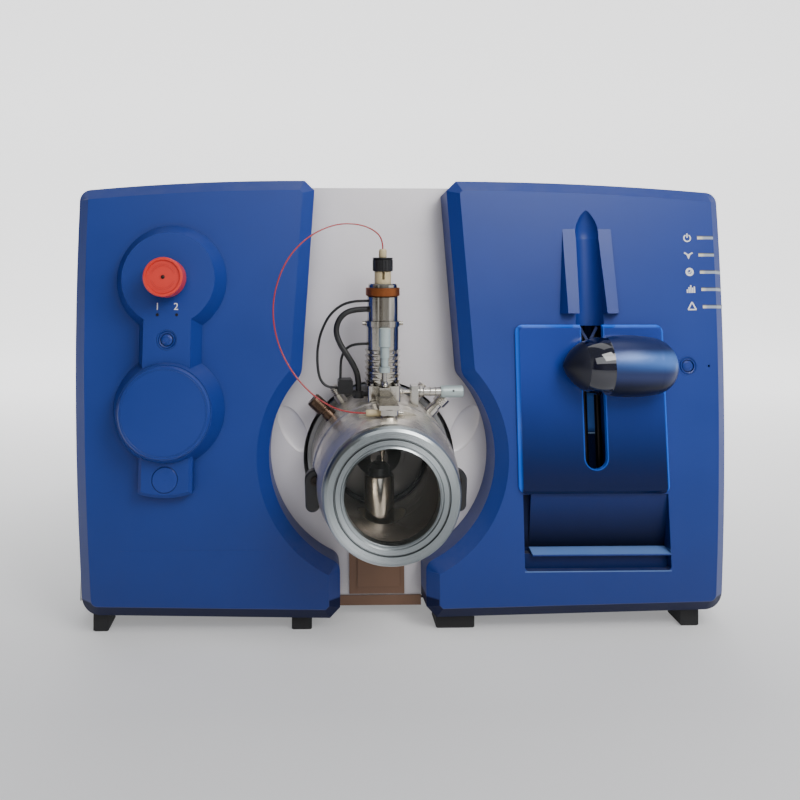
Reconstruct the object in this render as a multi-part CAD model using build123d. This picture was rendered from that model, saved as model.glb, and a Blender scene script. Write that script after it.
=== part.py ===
# Benchtop triple quadrupole mass spectrometer with a plug-on ion source.
# Millimetres. X to the right, Y into the machine, Z up, origin under the middle of the machine.
import os
from math import atan2, cos, degrees, pi, radians, sin, sqrt, tan

from build123d import *

# ---------------------------------------------------------------- driving dimensions
width = 796.0               # over the front covers
side_inset = 3.0            # the side panels stand in from the covers
body_depth = 690.0          # from the fascia at pivot height to the rear panel
source_reach = 172.0        # how far the ion source stands out of the fascia
rear_reach = 30.0           # how far the rear ports stand out
top_outer_z = 525.0         # top of the front covers at their outer ends
top_inner_z = 539.0         # top of the front covers beside the centre gap
cabinet_top_z = 520.0       # top of the side and rear panels
lean = radians(5.6)         # the front leans back by this much
pivot_z = 285.0             # height at which the front stands at its nominal depth
cover_depth = 60.0          # front covers, fascia to face
fascia_thick = 5.0
panel_thick = 4.0
foot_height = 20.0
clearance = 0.4             # round everything that moves
seat_gap = 0.3              # between a moving piece and the face that it stops on

fascia_y = -(source_reach + body_depth + rear_reach) / 2 + source_reach
face_y = fascia_y - cover_depth
rear_y = fascia_y + body_depth
cabinet_half = width / 2 - side_inset

# front covers and the centre gap between them
source_x = -26.0
source_z = 191.0
gap_z = 207.5               # middle of the round part of the gap
gap_top_half = 82.5
gap_shoulder_half = 97.5
gap_bottom_half = 51.0
gap_radius = 136.0
cover_bottom_z = 21.0       # beside the gap
cover_rise = 6.0            # the outer corners are this much higher
cover_edge = 14.0           # bevel round the face of a cover
cover_taper = 21.0          # covers are this much narrower at their lower outer corners
cover_half = width / 2
bulge_z = 430.0             # height at which they are widest

# ion source, measured along its own axis ahead of the fascia
housing_radius = 84.5
cavity_radius = 61.0
housing_rim = 90.0
housing_front = 158.0
ring_radius = 74.3
glass_opening = 51.0
flange_front = 2.0
tower_ahead = 55.0
flat_z = 271.0              # flat on top of the housing, on which the tower slides

face = Plane(origin=(0, face_y, pivot_z), x_dir=(1, 0, 0), z_dir=(0, -cos(lean), sin(lean)))


# ---------------------------------------------------------------- helpers
def v_at(z, out=0.0):
    """Height along the leaning front of a point at height z, standing out by out."""
    return (z - pivot_z - out * sin(lean)) / cos(lean)


def front_y(z, out=0.0):
    """World Y of the leaning front at height z."""
    return face_y + tan(lean) * (z - pivot_z) - out / cos(lean)


def on_front(shape):
    """Place a shape drawn in front coordinates (across, up the front, out of it)."""
    return shape.moved(face.location)


def filled(points):
    return make_face(Polyline(*points, close=True))


def turned_z(points, x, y, z=0.0):
    """Turn (radius, height) points about a vertical axis."""
    return Pos(x, y, z) * revolve(Plane.XZ * filled(points), Axis.Z)


def turned_x(points, x, y, z):
    """Turn (along, radius) points about an axis along X."""
    return Pos(x, y, z) * revolve(filled(points), Axis.X)


def turned_ahead(points):
    """Turn (radius, ahead) points about the axis of the ion source."""
    return Pos(source_x, fascia_y, source_z) * (Rot(0, 0, 180) * revolve(filled(points), Axis.Y))


def disc(radius, low, high, x=0.0, v=0.0):
    """A cylinder standing on the front, from one height out of it to another."""
    return Pos(x, v, low) * Cylinder(radius, high - low, align=(Align.CENTER, Align.CENTER, Align.MIN))


def rod_z(radius, low, high, x, y):
    return Pos(x, y, low) * Cylinder(radius, high - low, align=(Align.CENTER, Align.CENTER, Align.MIN))


def block(x0, x1, y0, y1, z0, z1):
    return Pos(x0, y0, z0) * Box(x1 - x0, y1 - y0, z1 - z0, align=(Align.MIN, Align.MIN, Align.MIN))


def bar_up(points, v0, v1):
    """A prism along the front's height from its (across, out) section."""
    return extrude(Plane.XZ.offset(-v0) * filled(points), amount=v0 - v1)


def bar_across(points, x0, x1):
    """A prism across the front from its (up, out) section."""
    return extrude(Plane.YZ.offset(x0) * filled(points), amount=x1 - x0)


def corner(sketch, point, radius):
    """Round the corner of a sketch that lies nearest to a point."""
    nearest = min(sketch.vertices(), key=lambda v: (v.X - point[0]) ** 2 + (v.Y - point[1]) ** 2)
    return fillet(nearest, radius)


def ahead(distance):
    """World Y of a place ahead of the fascia."""
    return fascia_y - distance


parts = {}


# ---------------------------------------------------------------- cabinet
cabinet_front = -cover_depth - fascia_thick
crest_z = 531.0             # the fascia stands up this high between the covers
inner_half = cabinet_half - panel_thick
base_top = foot_height + panel_thick
fascia_side = 3.0           # the fascia stands in from the sides
fascia_hole = 95.0


def side_panel(side):
    section = filled([
        (front_y(foot_height, cabinet_front), foot_height),
        (rear_y, foot_height),
        (rear_y, cabinet_top_z),
        (front_y(cabinet_top_z, cabinet_front), cabinet_top_z),
    ])
    start = inner_half if side > 0 else -cabinet_half
    panel = extrude(Plane.YZ.offset(start) * section, amount=panel_thick)
    slot_length, slot_height, slot_pitch, slot_count = 150.0, 6.0, 16.0, 7
    first = (rear_y - 60 - slot_length / 2, 90.0)
    for row in range(slot_count):
        slot = SlotOverall(slot_length, slot_height)
        place = Plane.YZ.offset(start - 1) * Pos(first[0], first[1] + row * slot_pitch)
        panel -= extrude(place * slot, amount=panel_thick + 2)
    return panel


def base_frame():
    lip = 14.0
    plate = block(-inner_half, inner_half, front_y(base_top, cabinet_front), rear_y - panel_thick,
                  foot_height, base_top)
    for side in (-1, 1):
        edge = side * inner_half
        low, high = sorted((edge, edge - side * panel_thick))
        plate += block(low, high, front_y(base_top + lip, cabinet_front) + 2, rear_y - panel_thick,
                       base_top, base_top + lip)
    return plate


foot_radius = 17.0
foot_xs = (45 - cabinet_half, -110.0, 45.0, cabinet_half - 45)
foot_inset = 36.0
front_pads = ((36 - cabinet_half, 9.0), (-122.0, 12.0), (source_x + 87, 23.0), (cabinet_half - 51, 11.0))
pad_back, pad_length = 26.0, 34.0
pad_slack = 0.2
cover_notch = 12.0          # corners of the covers beside the gap are cut off by this much


def cover_low_z(x, half):
    """Height of the lower edge of a cover at the end of a pad that is nearer to the gap."""
    side = 1 if x > source_x else -1
    start = gap_bottom_half + cover_notch
    end = cover_half - cover_taper - side * source_x
    share = (abs(x - source_x) - half - start) / (end - start)
    return cover_bottom_z + cover_rise * min(max(share, 0), 1) - pad_slack


def feet():
    """Low pads under the front covers and round feet under the base."""
    front = front_y(cover_bottom_z) + pad_back
    pads = []
    for x, half in front_pads:
        height = cover_low_z(x, half)
        front_height = height - pad_back * tan(lean)
        back_height = front_height - pad_length * tan(lean)
        outline = filled([(front, 0), (front + pad_length, 0), (front + pad_length, back_height),
                          (front, front_height)])
        place = Plane(origin=(x - half, 0, 0), x_dir=(0, 1, 0), z_dir=(1, 0, 0))
        pad = extrude(place * outline, amount=2 * half)
        pads.append(chamfer(pad.edges().group_by(Axis.Z)[0], 2))
    profile = [(0, 0), (foot_radius - 3, 0), (foot_radius, 3), (foot_radius - 2, foot_height), (0, foot_height)]
    rear_row = rear_y - panel_thick - foot_inset
    return Compound(pads + [turned_z(profile, x, rear_row) for x in foot_xs])


def top_cover():
    lid = block(-cabinet_half, cabinet_half, front_y(crest_z, cabinet_front), rear_y,
                cabinet_top_z, cabinet_top_z + panel_thick)
    return chamfer(lid.edges().filter_by(Axis.Y).group_by(Axis.Z)[-1], panel_thick * 0.6)


fan_x, fan_z = cabinet_half - 180, cabinet_top_z - 140
fan_radius = 58.0
fan_frame_side = 130.0
fan_frame_depth = 32.0
inlet_x, inlet_z = 95 - cabinet_half, 110.0
inlet_width, inlet_height = 50.0, 34.0
switch_x, switch_z = inlet_x + 70, inlet_z
switch_width, switch_height = 30.0, 22.0
port_xs = (-80.0, 10.0)
port_z = 130.0
port_radius = 24.0
gas_xs = tuple(65 + 35 * index - cabinet_half for index in range(4))
gas_z = cabinet_top_z - 90
gas_hole = 7.0


def rear_panel():
    panel = block(-inner_half, inner_half, rear_y - panel_thick, rear_y, base_top, cabinet_top_z)
    cut_y = rear_y - panel_thick - 1
    cut_depth = panel_thick + 2
    slack = 0.15
    grille = Sketch()
    spoke_count, rings = 4, (14.0, 26.0, 38.0, 50.0)
    for radius in rings:
        grille += Circle(radius + 4) - Circle(radius - 4)
    for spoke in range(spoke_count):
        grille -= Rot(0, 0, 45 + spoke * 180 / spoke_count) * Rectangle(2 * fan_radius + 10, 6)
    back = Plane(origin=(0, cut_y, 0), x_dir=(1, 0, 0), z_dir=(0, -1, 0))
    panel -= extrude(back * Pos(fan_x, fan_z) * grille, amount=-cut_depth)
    panel -= block(inlet_x - inlet_width / 2, inlet_x + inlet_width / 2, cut_y, cut_y + cut_depth,
                   inlet_z - inlet_height / 2, inlet_z + inlet_height / 2)
    panel -= block(switch_x - switch_width / 2, switch_x + switch_width / 2, cut_y, cut_y + cut_depth,
                   switch_z - switch_height / 2, switch_z + switch_height / 2)
    for x in port_xs:
        panel -= extrude(back * Pos(x, port_z) * Circle(port_radius + slack), amount=-cut_depth)
    for x in gas_xs:
        panel -= extrude(back * Pos(x, gas_z) * Circle(gas_hole + slack), amount=-cut_depth)
    slot_count, slot_pitch = 6, 18.0
    for row in range(slot_count):
        slot = SlotOverall(260, 6)
        panel -= extrude(back * Pos(-80, 340 + row * slot_pitch) * slot, amount=-cut_depth)
    return panel


def along_back(points, x, z, y=rear_y):
    """Turn (radius, distance behind y) points about an axis along Y."""
    return Pos(x, y, z) * revolve(filled(points), Axis.Y)


def fan_frame():
    y1 = rear_y - panel_thick
    frame = block(fan_x - fan_frame_side / 2, fan_x + fan_frame_side / 2, y1 - fan_frame_depth, y1,
                  fan_z - fan_frame_side / 2, fan_z + fan_frame_side / 2)
    frame -= along_back([(0, -fan_frame_depth - 1), (fan_radius + 1.5, -fan_frame_depth - 1),
                         (fan_radius + 1.5, 1), (0, 1)], fan_x, fan_z, y1)
    hub = along_back([(0, -fan_frame_depth), (18, -fan_frame_depth), (18, -fan_frame_depth + 4),
                      (0, -fan_frame_depth + 4)], fan_x, fan_z, y1)
    for arm in range(4):
        strut = Pos(fan_x, y1 - fan_frame_depth + 2, fan_z) * (Rot(0, arm * 90 + 45, 0) * (
            Pos(fan_radius / 2 + 9, 0, 0) * Box(fan_radius - 14, 4, 5)))
        hub += strut
    pin = along_back([(0, -fan_frame_depth + 3), (2.5, -fan_frame_depth + 3), (2.5, -10), (0, -10)],
                     fan_x, fan_z, y1)
    return frame + hub + pin


def fan_rotor():
    y1 = rear_y - panel_thick
    low, high = -fan_frame_depth + 4 + seat_gap, -4.0
    rotor = along_back([(2.5 + seat_gap, low), (20, low), (20, high), (0, high), (0, -10 + seat_gap),
                        (2.5 + seat_gap, -10 + seat_gap)], fan_x, fan_z, y1)
    blade_count = 7
    blade_length = fan_radius - 1 - 18
    for index in range(blade_count):
        blade = Pos(19 + blade_length / 2, 0, 0) * (Rot(38, 0, 0) * Box(blade_length, 2.2, 24))
        place = Pos(fan_x, y1 + (low + high) / 2, fan_z) * Rot(0, index * 360 / blade_count, 0)
        rotor += place * blade
    return rotor


def power_inlet():
    w, h = inlet_width, inlet_height
    y1 = rear_y
    shell = block(inlet_x - w / 2, inlet_x + w / 2, y1 - 26, y1 + 0.01, inlet_z - h / 2, inlet_z + h / 2)
    shell += block(inlet_x - w / 2 - 6, inlet_x + w / 2 + 6, y1, y1 + 3, inlet_z - h / 2 - 4, inlet_z + h / 2 + 4)
    shell -= block(inlet_x - w / 2 + 8, inlet_x + w / 2 - 8, y1 - 18, y1 + 4, inlet_z - h / 2 + 6, inlet_z + h / 2 - 6)
    pin_length, pin_width = 14.0, 2.0
    for dx in (-9, 0, 9):
        shell += block(inlet_x + dx - pin_width, inlet_x + dx + pin_width, y1 - 18.5, y1 - 18 + pin_length,
                       inlet_z - 1, inlet_z + 1)
    frame = block(switch_x - switch_width / 2, switch_x + switch_width / 2, y1 - 18, y1 + 0.01,
                  switch_z - switch_height / 2, switch_z + switch_height / 2)
    frame += block(switch_x - switch_width / 2 - 3, switch_x + switch_width / 2 + 3, y1, y1 + 2,
                   switch_z - switch_height / 2 - 3, switch_z + switch_height / 2 + 3)
    frame -= block(switch_x - rocker_half - 1, switch_x + rocker_half + 1, y1 - 14, y1 + 3,
                   switch_z - rocker_height / 2 - 0.5, switch_z + rocker_height / 2 + 0.5)
    return Compound([shell, frame])


rocker_half = 11.0
rocker_height = 16.0
rocker_throw = 10.0          # degrees each way


def power_switch():
    """Rocker that tips about a vertical axis."""
    section = filled([(-rocker_half, -4), (0, -6), (rocker_half, -4), (rocker_half - 0.5, 2.0), (0, 0.6),
                      (-rocker_half + 0.5, 2.0)])
    rocker = extrude(section, amount=rocker_height)
    trunnion, shoulder = 2.0, 0.4
    pin = Pos(0, -trunnion, -shoulder) * Cylinder(
        trunnion, rocker_height + 2 * shoulder, align=(Align.CENTER, Align.CENTER, Align.MIN))
    return Pos(switch_x, rear_y, switch_z - rocker_height / 2) * (rocker + pin)


def rear_ports():
    """Two vacuum ports with clamp flanges and a row of gas fittings."""
    solids = []
    for x in port_xs:
        solids.append(along_back([(16, -30), (port_radius, -30), (port_radius, 14), (port_radius + 4, 18),
                                  (port_radius + 4, rear_reach - 4), (port_radius, rear_reach), (16, rear_reach)],
                                 x, port_z))
    for x in gas_xs:
        fitting = along_back([(2.5, -12), (gas_hole, -12), (gas_hole, 0), (11, 0), (11, 5), (8, 5), (8, 18),
                              (6, 20), (2.5, 20)], x, gas_z)
        solids.append(fitting)
    return Compound(solids)


manifold_half = 105.0
manifold_low, manifold_high = 96.0, 290.0
manifold_front = -30.0
manifold_length = 520.0


def vacuum_manifold():
    """Cast vacuum housing on two pedestals, closed and solid inside."""
    body = block(source_x - manifold_half, source_x + manifold_half, ahead(manifold_front),
                 ahead(manifold_front) + manifold_length, manifold_low, manifold_high)
    body = fillet(body.edges().filter_by(Axis.Y), 14)
    rib_count, rib_pitch = 5, 90.0
    for rib in range(rib_count):
        y = ahead(manifold_front) + 60 + rib * rib_pitch
        body += block(source_x - manifold_half + 20, source_x + manifold_half - 20, y, y + 10,
                      manifold_high - 1, manifold_high + 14)
    for y in (ahead(manifold_front) + 60, ahead(manifold_front) + 380):
        body += block(source_x - 70, source_x + 70, y, y + 80, base_top, manifold_low + 1)
    return body


interface_radius = 92.0
recess_floor = -12.0


def interface_flange():
    """Flange on the manifold that the source plugs onto, with the curtain cone in its middle."""
    return turned_ahead([(0, manifold_front), (interface_radius, manifold_front), (interface_radius, flange_front - 2),
                         (interface_radius - 2, flange_front), (63, flange_front), (63, recess_floor),
                         (30, recess_floor), (11, 12), (4, 14), (3, 6), (0, 6)])


def interface_seal():
    return turned_ahead([(59.5, recess_floor), (62.8, recess_floor), (62.8, recess_floor + 3),
                         (59.5, recess_floor + 3)])


def centre_fascia():
    """Grey moulded panel behind both covers, open for the source flange."""
    half = cabinet_half - fascia_side
    low, high = v_at(cover_bottom_z + 4, -cover_depth), v_at(cabinet_top_z, -cover_depth)
    crest = v_at(crest_z, -cover_depth)
    centre_v = v_at(source_z, -cover_depth)
    sheet = extrude(Pos(0, (low + high) / 2) * Rectangle(2 * half, high - low), amount=-fascia_thick)
    sheet = Pos(0, 0, -cover_depth) * sheet
    sheet += Pos(source_x, (high + crest) / 2, -cover_depth - fascia_thick) * Box(
        2 * gap_shoulder_half, crest - high + 2, fascia_thick, align=(Align.CENTER, Align.CENTER, Align.MIN))
    sheet -= Pos(source_x, centre_v, -cover_depth - fascia_thick - 1) * Cylinder(
        fascia_hole, fascia_thick + 2, align=(Align.CENTER, Align.CENTER, Align.MIN))
    for side in (-1, 1):
        dish = Pos(source_x + side * 108, centre_v + 35, -cover_depth + 0.5) * (Rot(0, 0, side * -28) * scale(
            Sphere(1), by=(15, 32, 4)))
        sheet -= dish
    return on_front(sheet)


def drip_plate():
    """Folded steel plate below the source with a raised inner field."""
    half, low, high = 34.0, v_at(28, -cover_depth), v_at(90, -cover_depth)
    plate = Pos(source_x - 4, (low + high) / 2, -cover_depth) * Box(
        2 * half, high - low, 2.5, align=(Align.CENTER, Align.CENTER, Align.MIN))
    plate += Pos(source_x - 2, (low + high) / 2 + 3, -cover_depth + 2.5) * Box(
        2 * half - 16, high - low - 12, 2, align=(Align.CENTER, Align.CENTER, Align.MIN))
    return on_front(plate)


# ---------------------------------------------------------------- front covers
pod_x = 115 - cabinet_half
pod_high_z, pod_low_z = 415.0, 262.0
pod_radius = 66.0
pod_face_radius = 54.5
pod_height = 27.0
low_pod_height = 33.0
neck_half = 27.5
neck_draft = 10.0
tab_half = 31.0
tab_height = 20.0
tab_bottom_z = 164.0
cover_button_z = 344.0
button_radius = 6.6
button_travel = 3.0
bezel_radius = 12.0
plug_z = 185.0
plug_radius = 14.5
light_radius = 1.8
light_xs = (pod_x - 11.5, pod_x + 11)
light_z = 373.0
hub_radius = 15.0

module_x = cabinet_half - 168.5
plate_x = module_x - 2
plate_half = 90.0
plate_top_z, plate_bottom_z = 361.5, 163.5
plate_out = 7.0
slot_half = 13.5
slot_end_z = 192.0
cavity_half = 27.0
cavity_back = -52.0
cavity_low_z, cavity_high_z = 183.0, 360.5
rod_out = -32.0
rod_spread = 17.0
rod_radius = 4.0
pump_button_x, pump_button_z = cabinet_half - 50.4, 312.0
bar_x0 = cabinet_half - 31
bar_step = 0.7              # each lower bar starts this much further out
bar_height = 4.5
bar_pitch = 21.1
bar_top_z = 468.0
bar_count = 5
bar_depth = 3.0


def cover_body(side):
    """Solid moulding of one front cover, drawn on the leaning face."""
    def gap(half):
        return source_x + side * half
    centre_v = v_at(gap_z)
    outer = side * cover_half
    low_outer = side * (cover_half - cover_taper)
    low = v_at(cover_bottom_z)
    outer_low = v_at(cover_bottom_z + cover_rise)
    inner_top, outer_top = v_at(top_inner_z), v_at(top_outer_z)
    notch = cover_notch
    shoulder = (gap(gap_shoulder_half), centre_v + sqrt(gap_radius ** 2 - gap_shoulder_half ** 2))
    waist = (gap(gap_bottom_half), centre_v - sqrt(gap_radius ** 2 - gap_bottom_half ** 2))
    top_start = (gap(gap_top_half) + side * notch, inner_top)
    top_end = (side * (cover_half - 0.5), outer_top)
    bulge = (outer, v_at(bulge_z))
    crown = ((top_start[0] + outer) / 2, (inner_top + outer_top) / 2 + 3.5)
    edge = Polyline(top_start, (gap(gap_top_half), inner_top - notch), shoulder)
    edge += ThreePointArc(shoulder, (gap(gap_radius), centre_v), waist)
    edge += Polyline(waist, (gap(gap_bottom_half), low + notch), (gap(gap_bottom_half) + side * notch, low),
                     (low_outer, outer_low))
    edge += ThreePointArc((low_outer, outer_low), bulge, top_end)
    edge += ThreePointArc(top_end, crown, top_start)
    sketch = make_face(edge)
    sketch = corner(sketch, shoulder, 20)
    sketch = corner(sketch, waist, 14)
    sketch = corner(sketch, (low_outer, outer_low), 22)
    sketch = corner(sketch, top_end, 14)
    body = extrude(sketch, amount=-cover_depth)
    return chamfer(body.faces().sort_by(Axis.Z)[-1].edges(), cover_edge)


def pods():
    """Raised keyhole moulding of the left cover."""
    sink = 2.0
    high_v, low_v = v_at(pod_high_z), v_at(pod_low_z)
    upper = Pos(pod_x, high_v) * revolve(Plane.XZ * filled(
        [(0, -sink), (pod_radius, -sink), (pod_radius, 0), (pod_face_radius, pod_height), (0, pod_height)]), Axis.Z)
    lower = Pos(pod_x, low_v) * revolve(Plane.XZ * filled(
        [(0, -sink), (pod_radius, -sink), (pod_radius, 0), (pod_face_radius, low_pod_height),
         (0, low_pod_height)]), Axis.Z)
    foot = neck_half + neck_draft
    neck = Pos(pod_x, 0) * bar_up([(-foot, -sink), (foot, -sink), (foot, 0), (neck_half, pod_height),
                                   (-neck_half, pod_height), (-foot, 0)], low_v, high_v)
    tab_low = v_at(tab_bottom_z)
    tab_line = Polyline((tab_half, tab_low + 5), (tab_half, low_v), (-tab_half, low_v), (-tab_half, tab_low + 5))
    tab_line += ThreePointArc((-tab_half, tab_low + 5), (0, tab_low), (tab_half, tab_low + 5))
    tab_sketch = make_face(tab_line)
    tab = Pos(pod_x, 0, -sink) * extrude(tab_sketch, amount=tab_height + sink)
    tab = chamfer(tab.faces().sort_by(Axis.Z)[-1].edges(), 4)
    return upper + neck + tab + lower


def front_left_cover():
    cover = cover_body(-1) + pods()
    button_v = v_at(cover_button_z)
    cover -= disc(bezel_radius, pod_height - 4, pod_height + 1, pod_x, button_v)
    cover -= disc(button_radius + clearance, pod_height - 17, pod_height, pod_x, button_v)
    cover -= disc(plug_radius + 0.6, tab_height - 2.5, tab_height + 1, pod_x, v_at(plug_z))
    for x in light_xs:
        cover -= disc(light_radius, pod_height - 6, pod_height + 1, x, v_at(light_z))
    return on_front(cover)


def valve_collar():
    """Steel collar and hub that the red cap pushes onto."""
    ring = revolve(Plane.XZ * filled([(0, pod_height), (21, pod_height), (21, pod_height + 5),
                                      (19.5, pod_height + 7), (hub_radius, pod_height + 7),
                                      (hub_radius, pod_height + 24), (0, pod_height + 24)]), Axis.Z)
    return on_front(Pos(pod_x, v_at(pod_high_z)) * ring)


cap_radius = 22.5
cap_out = 63.0


def valve_cap():
    back = pod_height + 7 + seat_gap
    profile = [(hub_radius + clearance, back), (cap_radius - 1, back), (cap_radius, back + 1),
               (cap_radius, cap_out - 1), (cap_radius - 1, cap_out), (cap_radius - 3, cap_out),
               (cap_radius - 4, cap_out - 2), (0, cap_out - 2), (0, cap_out - 8), (hub_radius + clearance, cap_out - 8)]
    return on_front(Pos(pod_x, v_at(pod_high_z)) * revolve(Plane.XZ * filled(profile), Axis.Z))


def push_button(x, v, out):
    """Small domed button, its face just proud of the moulding."""
    low = out - 17 + button_travel + seat_gap
    profile = [(0, low), (button_radius, low), (button_radius, out - 0.6), (button_radius - 2, out + 0.8), (0, out + 1)]
    return on_front(Pos(x, v) * revolve(Plane.XZ * filled(profile), Axis.Z))


def round_cover():
    """Round blank that closes the lower pod."""
    edge = 53.0
    profile = [(0, low_pod_height), (edge, low_pod_height), (edge, low_pod_height + 3),
               (edge - 2, low_pod_height + 5), (0, low_pod_height + 5)]
    return on_front(Pos(pod_x, v_at(pod_low_z)) * revolve(Plane.XZ * filled(profile), Axis.Z))


def blank_plug():
    base = tab_height - 2.5
    profile = [(0, base), (plug_radius, base), (plug_radius, base + 2.6), (plug_radius - 0.8, base + 3.3), (0, base + 3.4)]
    return on_front(Pos(pod_x, v_at(plug_z)) * revolve(Plane.XZ * filled(profile), Axis.Z))


def light_bar(index):
    """One status bar, flush with the face of the right cover and its bevelled outer edge."""
    outer = cover_half
    bend = cover_edge
    wrap = 8.0
    start = bar_x0 + index * bar_step
    shift = bar_depth * tan(pi / 8)
    section = [(start, 0), (outer - bend, 0), (outer, -bend), (outer, -bend - wrap),
               (outer - bar_depth, -bend - wrap), (outer - bar_depth, -bend - shift),
               (outer - bend - shift, -bar_depth), (start, -bar_depth)]
    v = v_at(bar_top_z - index * bar_pitch)
    return bar_up(section, v - bar_height / 2, v + bar_height / 2)


def bars():
    return [light_bar(index) for index in range(bar_count)]


trough_tip_z, trough_wide_z = 502.0, 467.0
trough_half, trough_foot_half = 14.0, 17.5
rib_top_z, rib_foot_z = 480.0, 375.0
rib_half, rib_height = 30.5, 15.0


def spear():
    """Trough with a pointed upper end that leads into the syringe slot."""
    tip, wide, foot = v_at(trough_tip_z), v_at(trough_wide_z), v_at(plate_top_z) - 2
    line = Polyline((0, foot), (trough_foot_half, foot), (trough_half, wide))
    line += ThreePointArc((trough_half, wide), (trough_half * 0.7, wide + (tip - wide) * 0.66), (0, tip))
    half = make_face(line + Line((0, tip), (0, foot)))
    groove = revolve(half, Axis.Y)
    whole = half + mirror(half, Plane.YZ)
    return Pos(module_x, 0, 1) * (groove + extrude(whole, amount=2 * rib_height))


def ribs():
    """Two ribs beside the trough that rise out of the face towards the syringe plate."""
    sink, draft = 3.0, 7.0
    first = Plane.XZ.offset(-v_at(rib_top_z)) * filled([
        (-rib_half, -sink), (rib_half, -sink), (rib_half - 0.5, -0.3), (0.5 - rib_half, -0.3)])
    last = Plane.XZ.offset(-v_at(rib_foot_z)) * filled([
        (-rib_half - draft, -sink), (rib_half + draft, -sink), (rib_half, rib_height), (-rib_half, rib_height)])
    return Pos(module_x, 0, 0) * loft([first, last], ruled=True)


recess_half = 87.0
recess_z = 75.5             # lower edge of the recess under the syringe plate
shelf_z, shelf_back_z = 94.0, 98.5
shelf_depth = 18.0
recess_column = 9.8         # deep stretch to the left of the shelf
recess_depth = 11.0
recess_corner = 5.0


def recess():
    """Cuts of the recess under the syringe plate: a lower pocket, a ramp above the shelf and a deep column."""
    left, right = module_x - recess_half, module_x + recess_half
    low_v, shelf_v, back_v = v_at(recess_z), v_at(shelf_z), v_at(shelf_back_z)
    high_v = v_at(plate_bottom_z)
    under_v = shelf_v - 1.5
    pocket = Pos(module_x, (low_v + under_v) / 2) * Rectangle(2 * recess_half, under_v - low_v)
    pocket = fillet(pocket.vertices().group_by(Axis.Y)[0], recess_corner)
    pocket = Pos(0, 0, -recess_depth) * extrude(pocket, amount=recess_depth + 5)
    ramp = bar_across([(shelf_v, 5), (shelf_v, 0), (back_v, -shelf_depth), (high_v - 1, -1.5), (high_v - 1, 5)],
                      left + recess_column, right)
    column = bar_across([(under_v - 0.1, 5), (under_v - 0.1, -recess_depth), (shelf_v, -shelf_depth),
                         (high_v - 1, -recess_depth), (high_v - 1, 5)], left, left + recess_column + 0.01)
    return [pocket, ramp, column]


def front_right_cover():
    cover = cover_body(1) + ribs()
    cover -= spear()
    for cut in recess():
        cover -= cut
    cavity = bar_across([(v_at(cavity_low_z), cavity_back), (v_at(cavity_high_z), cavity_back),
                         (v_at(cavity_high_z), 5), (v_at(cavity_low_z), 5)],
                        module_x - cavity_half, module_x + cavity_half)
    cover -= cavity
    button_v = v_at(pump_button_z)
    cover -= disc(bezel_radius, -3, 1, pump_button_x, button_v)
    cover -= disc(button_radius + clearance, -17, 0, pump_button_x, button_v)
    cover -= disc(1.5, -6, 1, cabinet_half - 24.5, button_v)
    for bar in bars():
        cover -= bar
    return on_front(cover)


def indicator_lights():
    """Status bars of the right cover and the two round lights of the left one."""
    solids = [on_front(bar) for bar in bars()]
    for x in light_xs:
        solids.append(on_front(disc(light_radius, pod_height - 6, pod_height + 0.4, x, v_at(light_z))))
    return Compound(solids)


def syringe_panel():
    """Clear blue plate with a slot, open at its upper end."""
    low, high = v_at(plate_bottom_z), v_at(plate_top_z)
    plate = Pos(plate_x, (low + high) / 2, 0) * extrude(
        RectangleRounded(2 * plate_half, high - low, 9), amount=plate_out)
    plate = chamfer(plate.faces().sort_by(Axis.Z)[-1].edges(), 4)
    end = v_at(slot_end_z)
    plate -= disc(slot_half, -1, plate_out + 1, module_x, end + slot_half)
    plate -= Pos(module_x, end + slot_half, -1) * Box(2 * slot_half, high - end, plate_out + 2,
                                                    align=(Align.CENTER, Align.MIN, Align.MIN))
    return on_front(plate)


def rod_up(radius, x, out, v0, v1):
    return Pos(x, v0, out) * (Rot(-90, 0, 0) * Cylinder(
        radius, v1 - v0, align=(Align.CENTER, Align.CENTER, Align.MIN)))


def guide_rods():
    low, high = v_at(cavity_low_z), v_at(cavity_high_z)
    return Compound([on_front(rod_up(rod_radius, module_x + side * rod_spread, rod_out, low, high))
                     for side in (-1, 1)])


def lead_screw():
    low, high = v_at(cavity_low_z) + seat_gap, v_at(cavity_high_z) - seat_gap
    return on_front(rod_up(rod_radius, module_x, rod_out, low, high))


handle_z = 313.5
handle_left, handle_right = module_x - 42.5, module_x + 91
handle_radius = 36.0
handle_axis_out = 25.4
handle_back = plate_out + clearance
nose_end, band_end = handle_left + 24, handle_left + 51


def carriage_block():
    v = v_at(handle_z)
    body = Pos(module_x, v, -45) * Box(46, 34, 27, align=(Align.CENTER, Align.CENTER, Align.MIN))
    body += Pos(module_x, v, -19) * Box(2 * (slot_half - 2 * clearance), 24, 19 + handle_back,
                                        align=(Align.CENTER, Align.CENTER, Align.MIN))
    for dx in (-rod_spread, 0, rod_spread):
        body -= rod_up(rod_radius + clearance, module_x + dx, rod_out, v - 30, v + 30)
    return on_front(body)


def handle_shape():
    """Egg-shaped handle, pointed on the left and blunt on the right, cut flat at the back."""
    r = handle_radius
    line = ThreePointArc((handle_left, 0), (handle_left + 14, r * 0.6), (handle_left + 50, r * 0.94))
    line += ThreePointArc((handle_left + 50, r * 0.94), (handle_left + 77, r), (handle_left + 105, r * 0.93))
    line += ThreePointArc((handle_left + 105, r * 0.93), (handle_right - 6, r * 0.58), (handle_right, 0))
    egg = revolve(make_face(line + Line((handle_right, 0), (handle_left, 0))), Axis.X)
    egg = Pos(0, v_at(handle_z), handle_axis_out) * egg
    keep = Pos(module_x, v_at(handle_z), handle_back) * Box(
        400, 200, 100, align=(Align.CENTER, Align.CENTER, Align.MIN))
    return egg & keep


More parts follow.
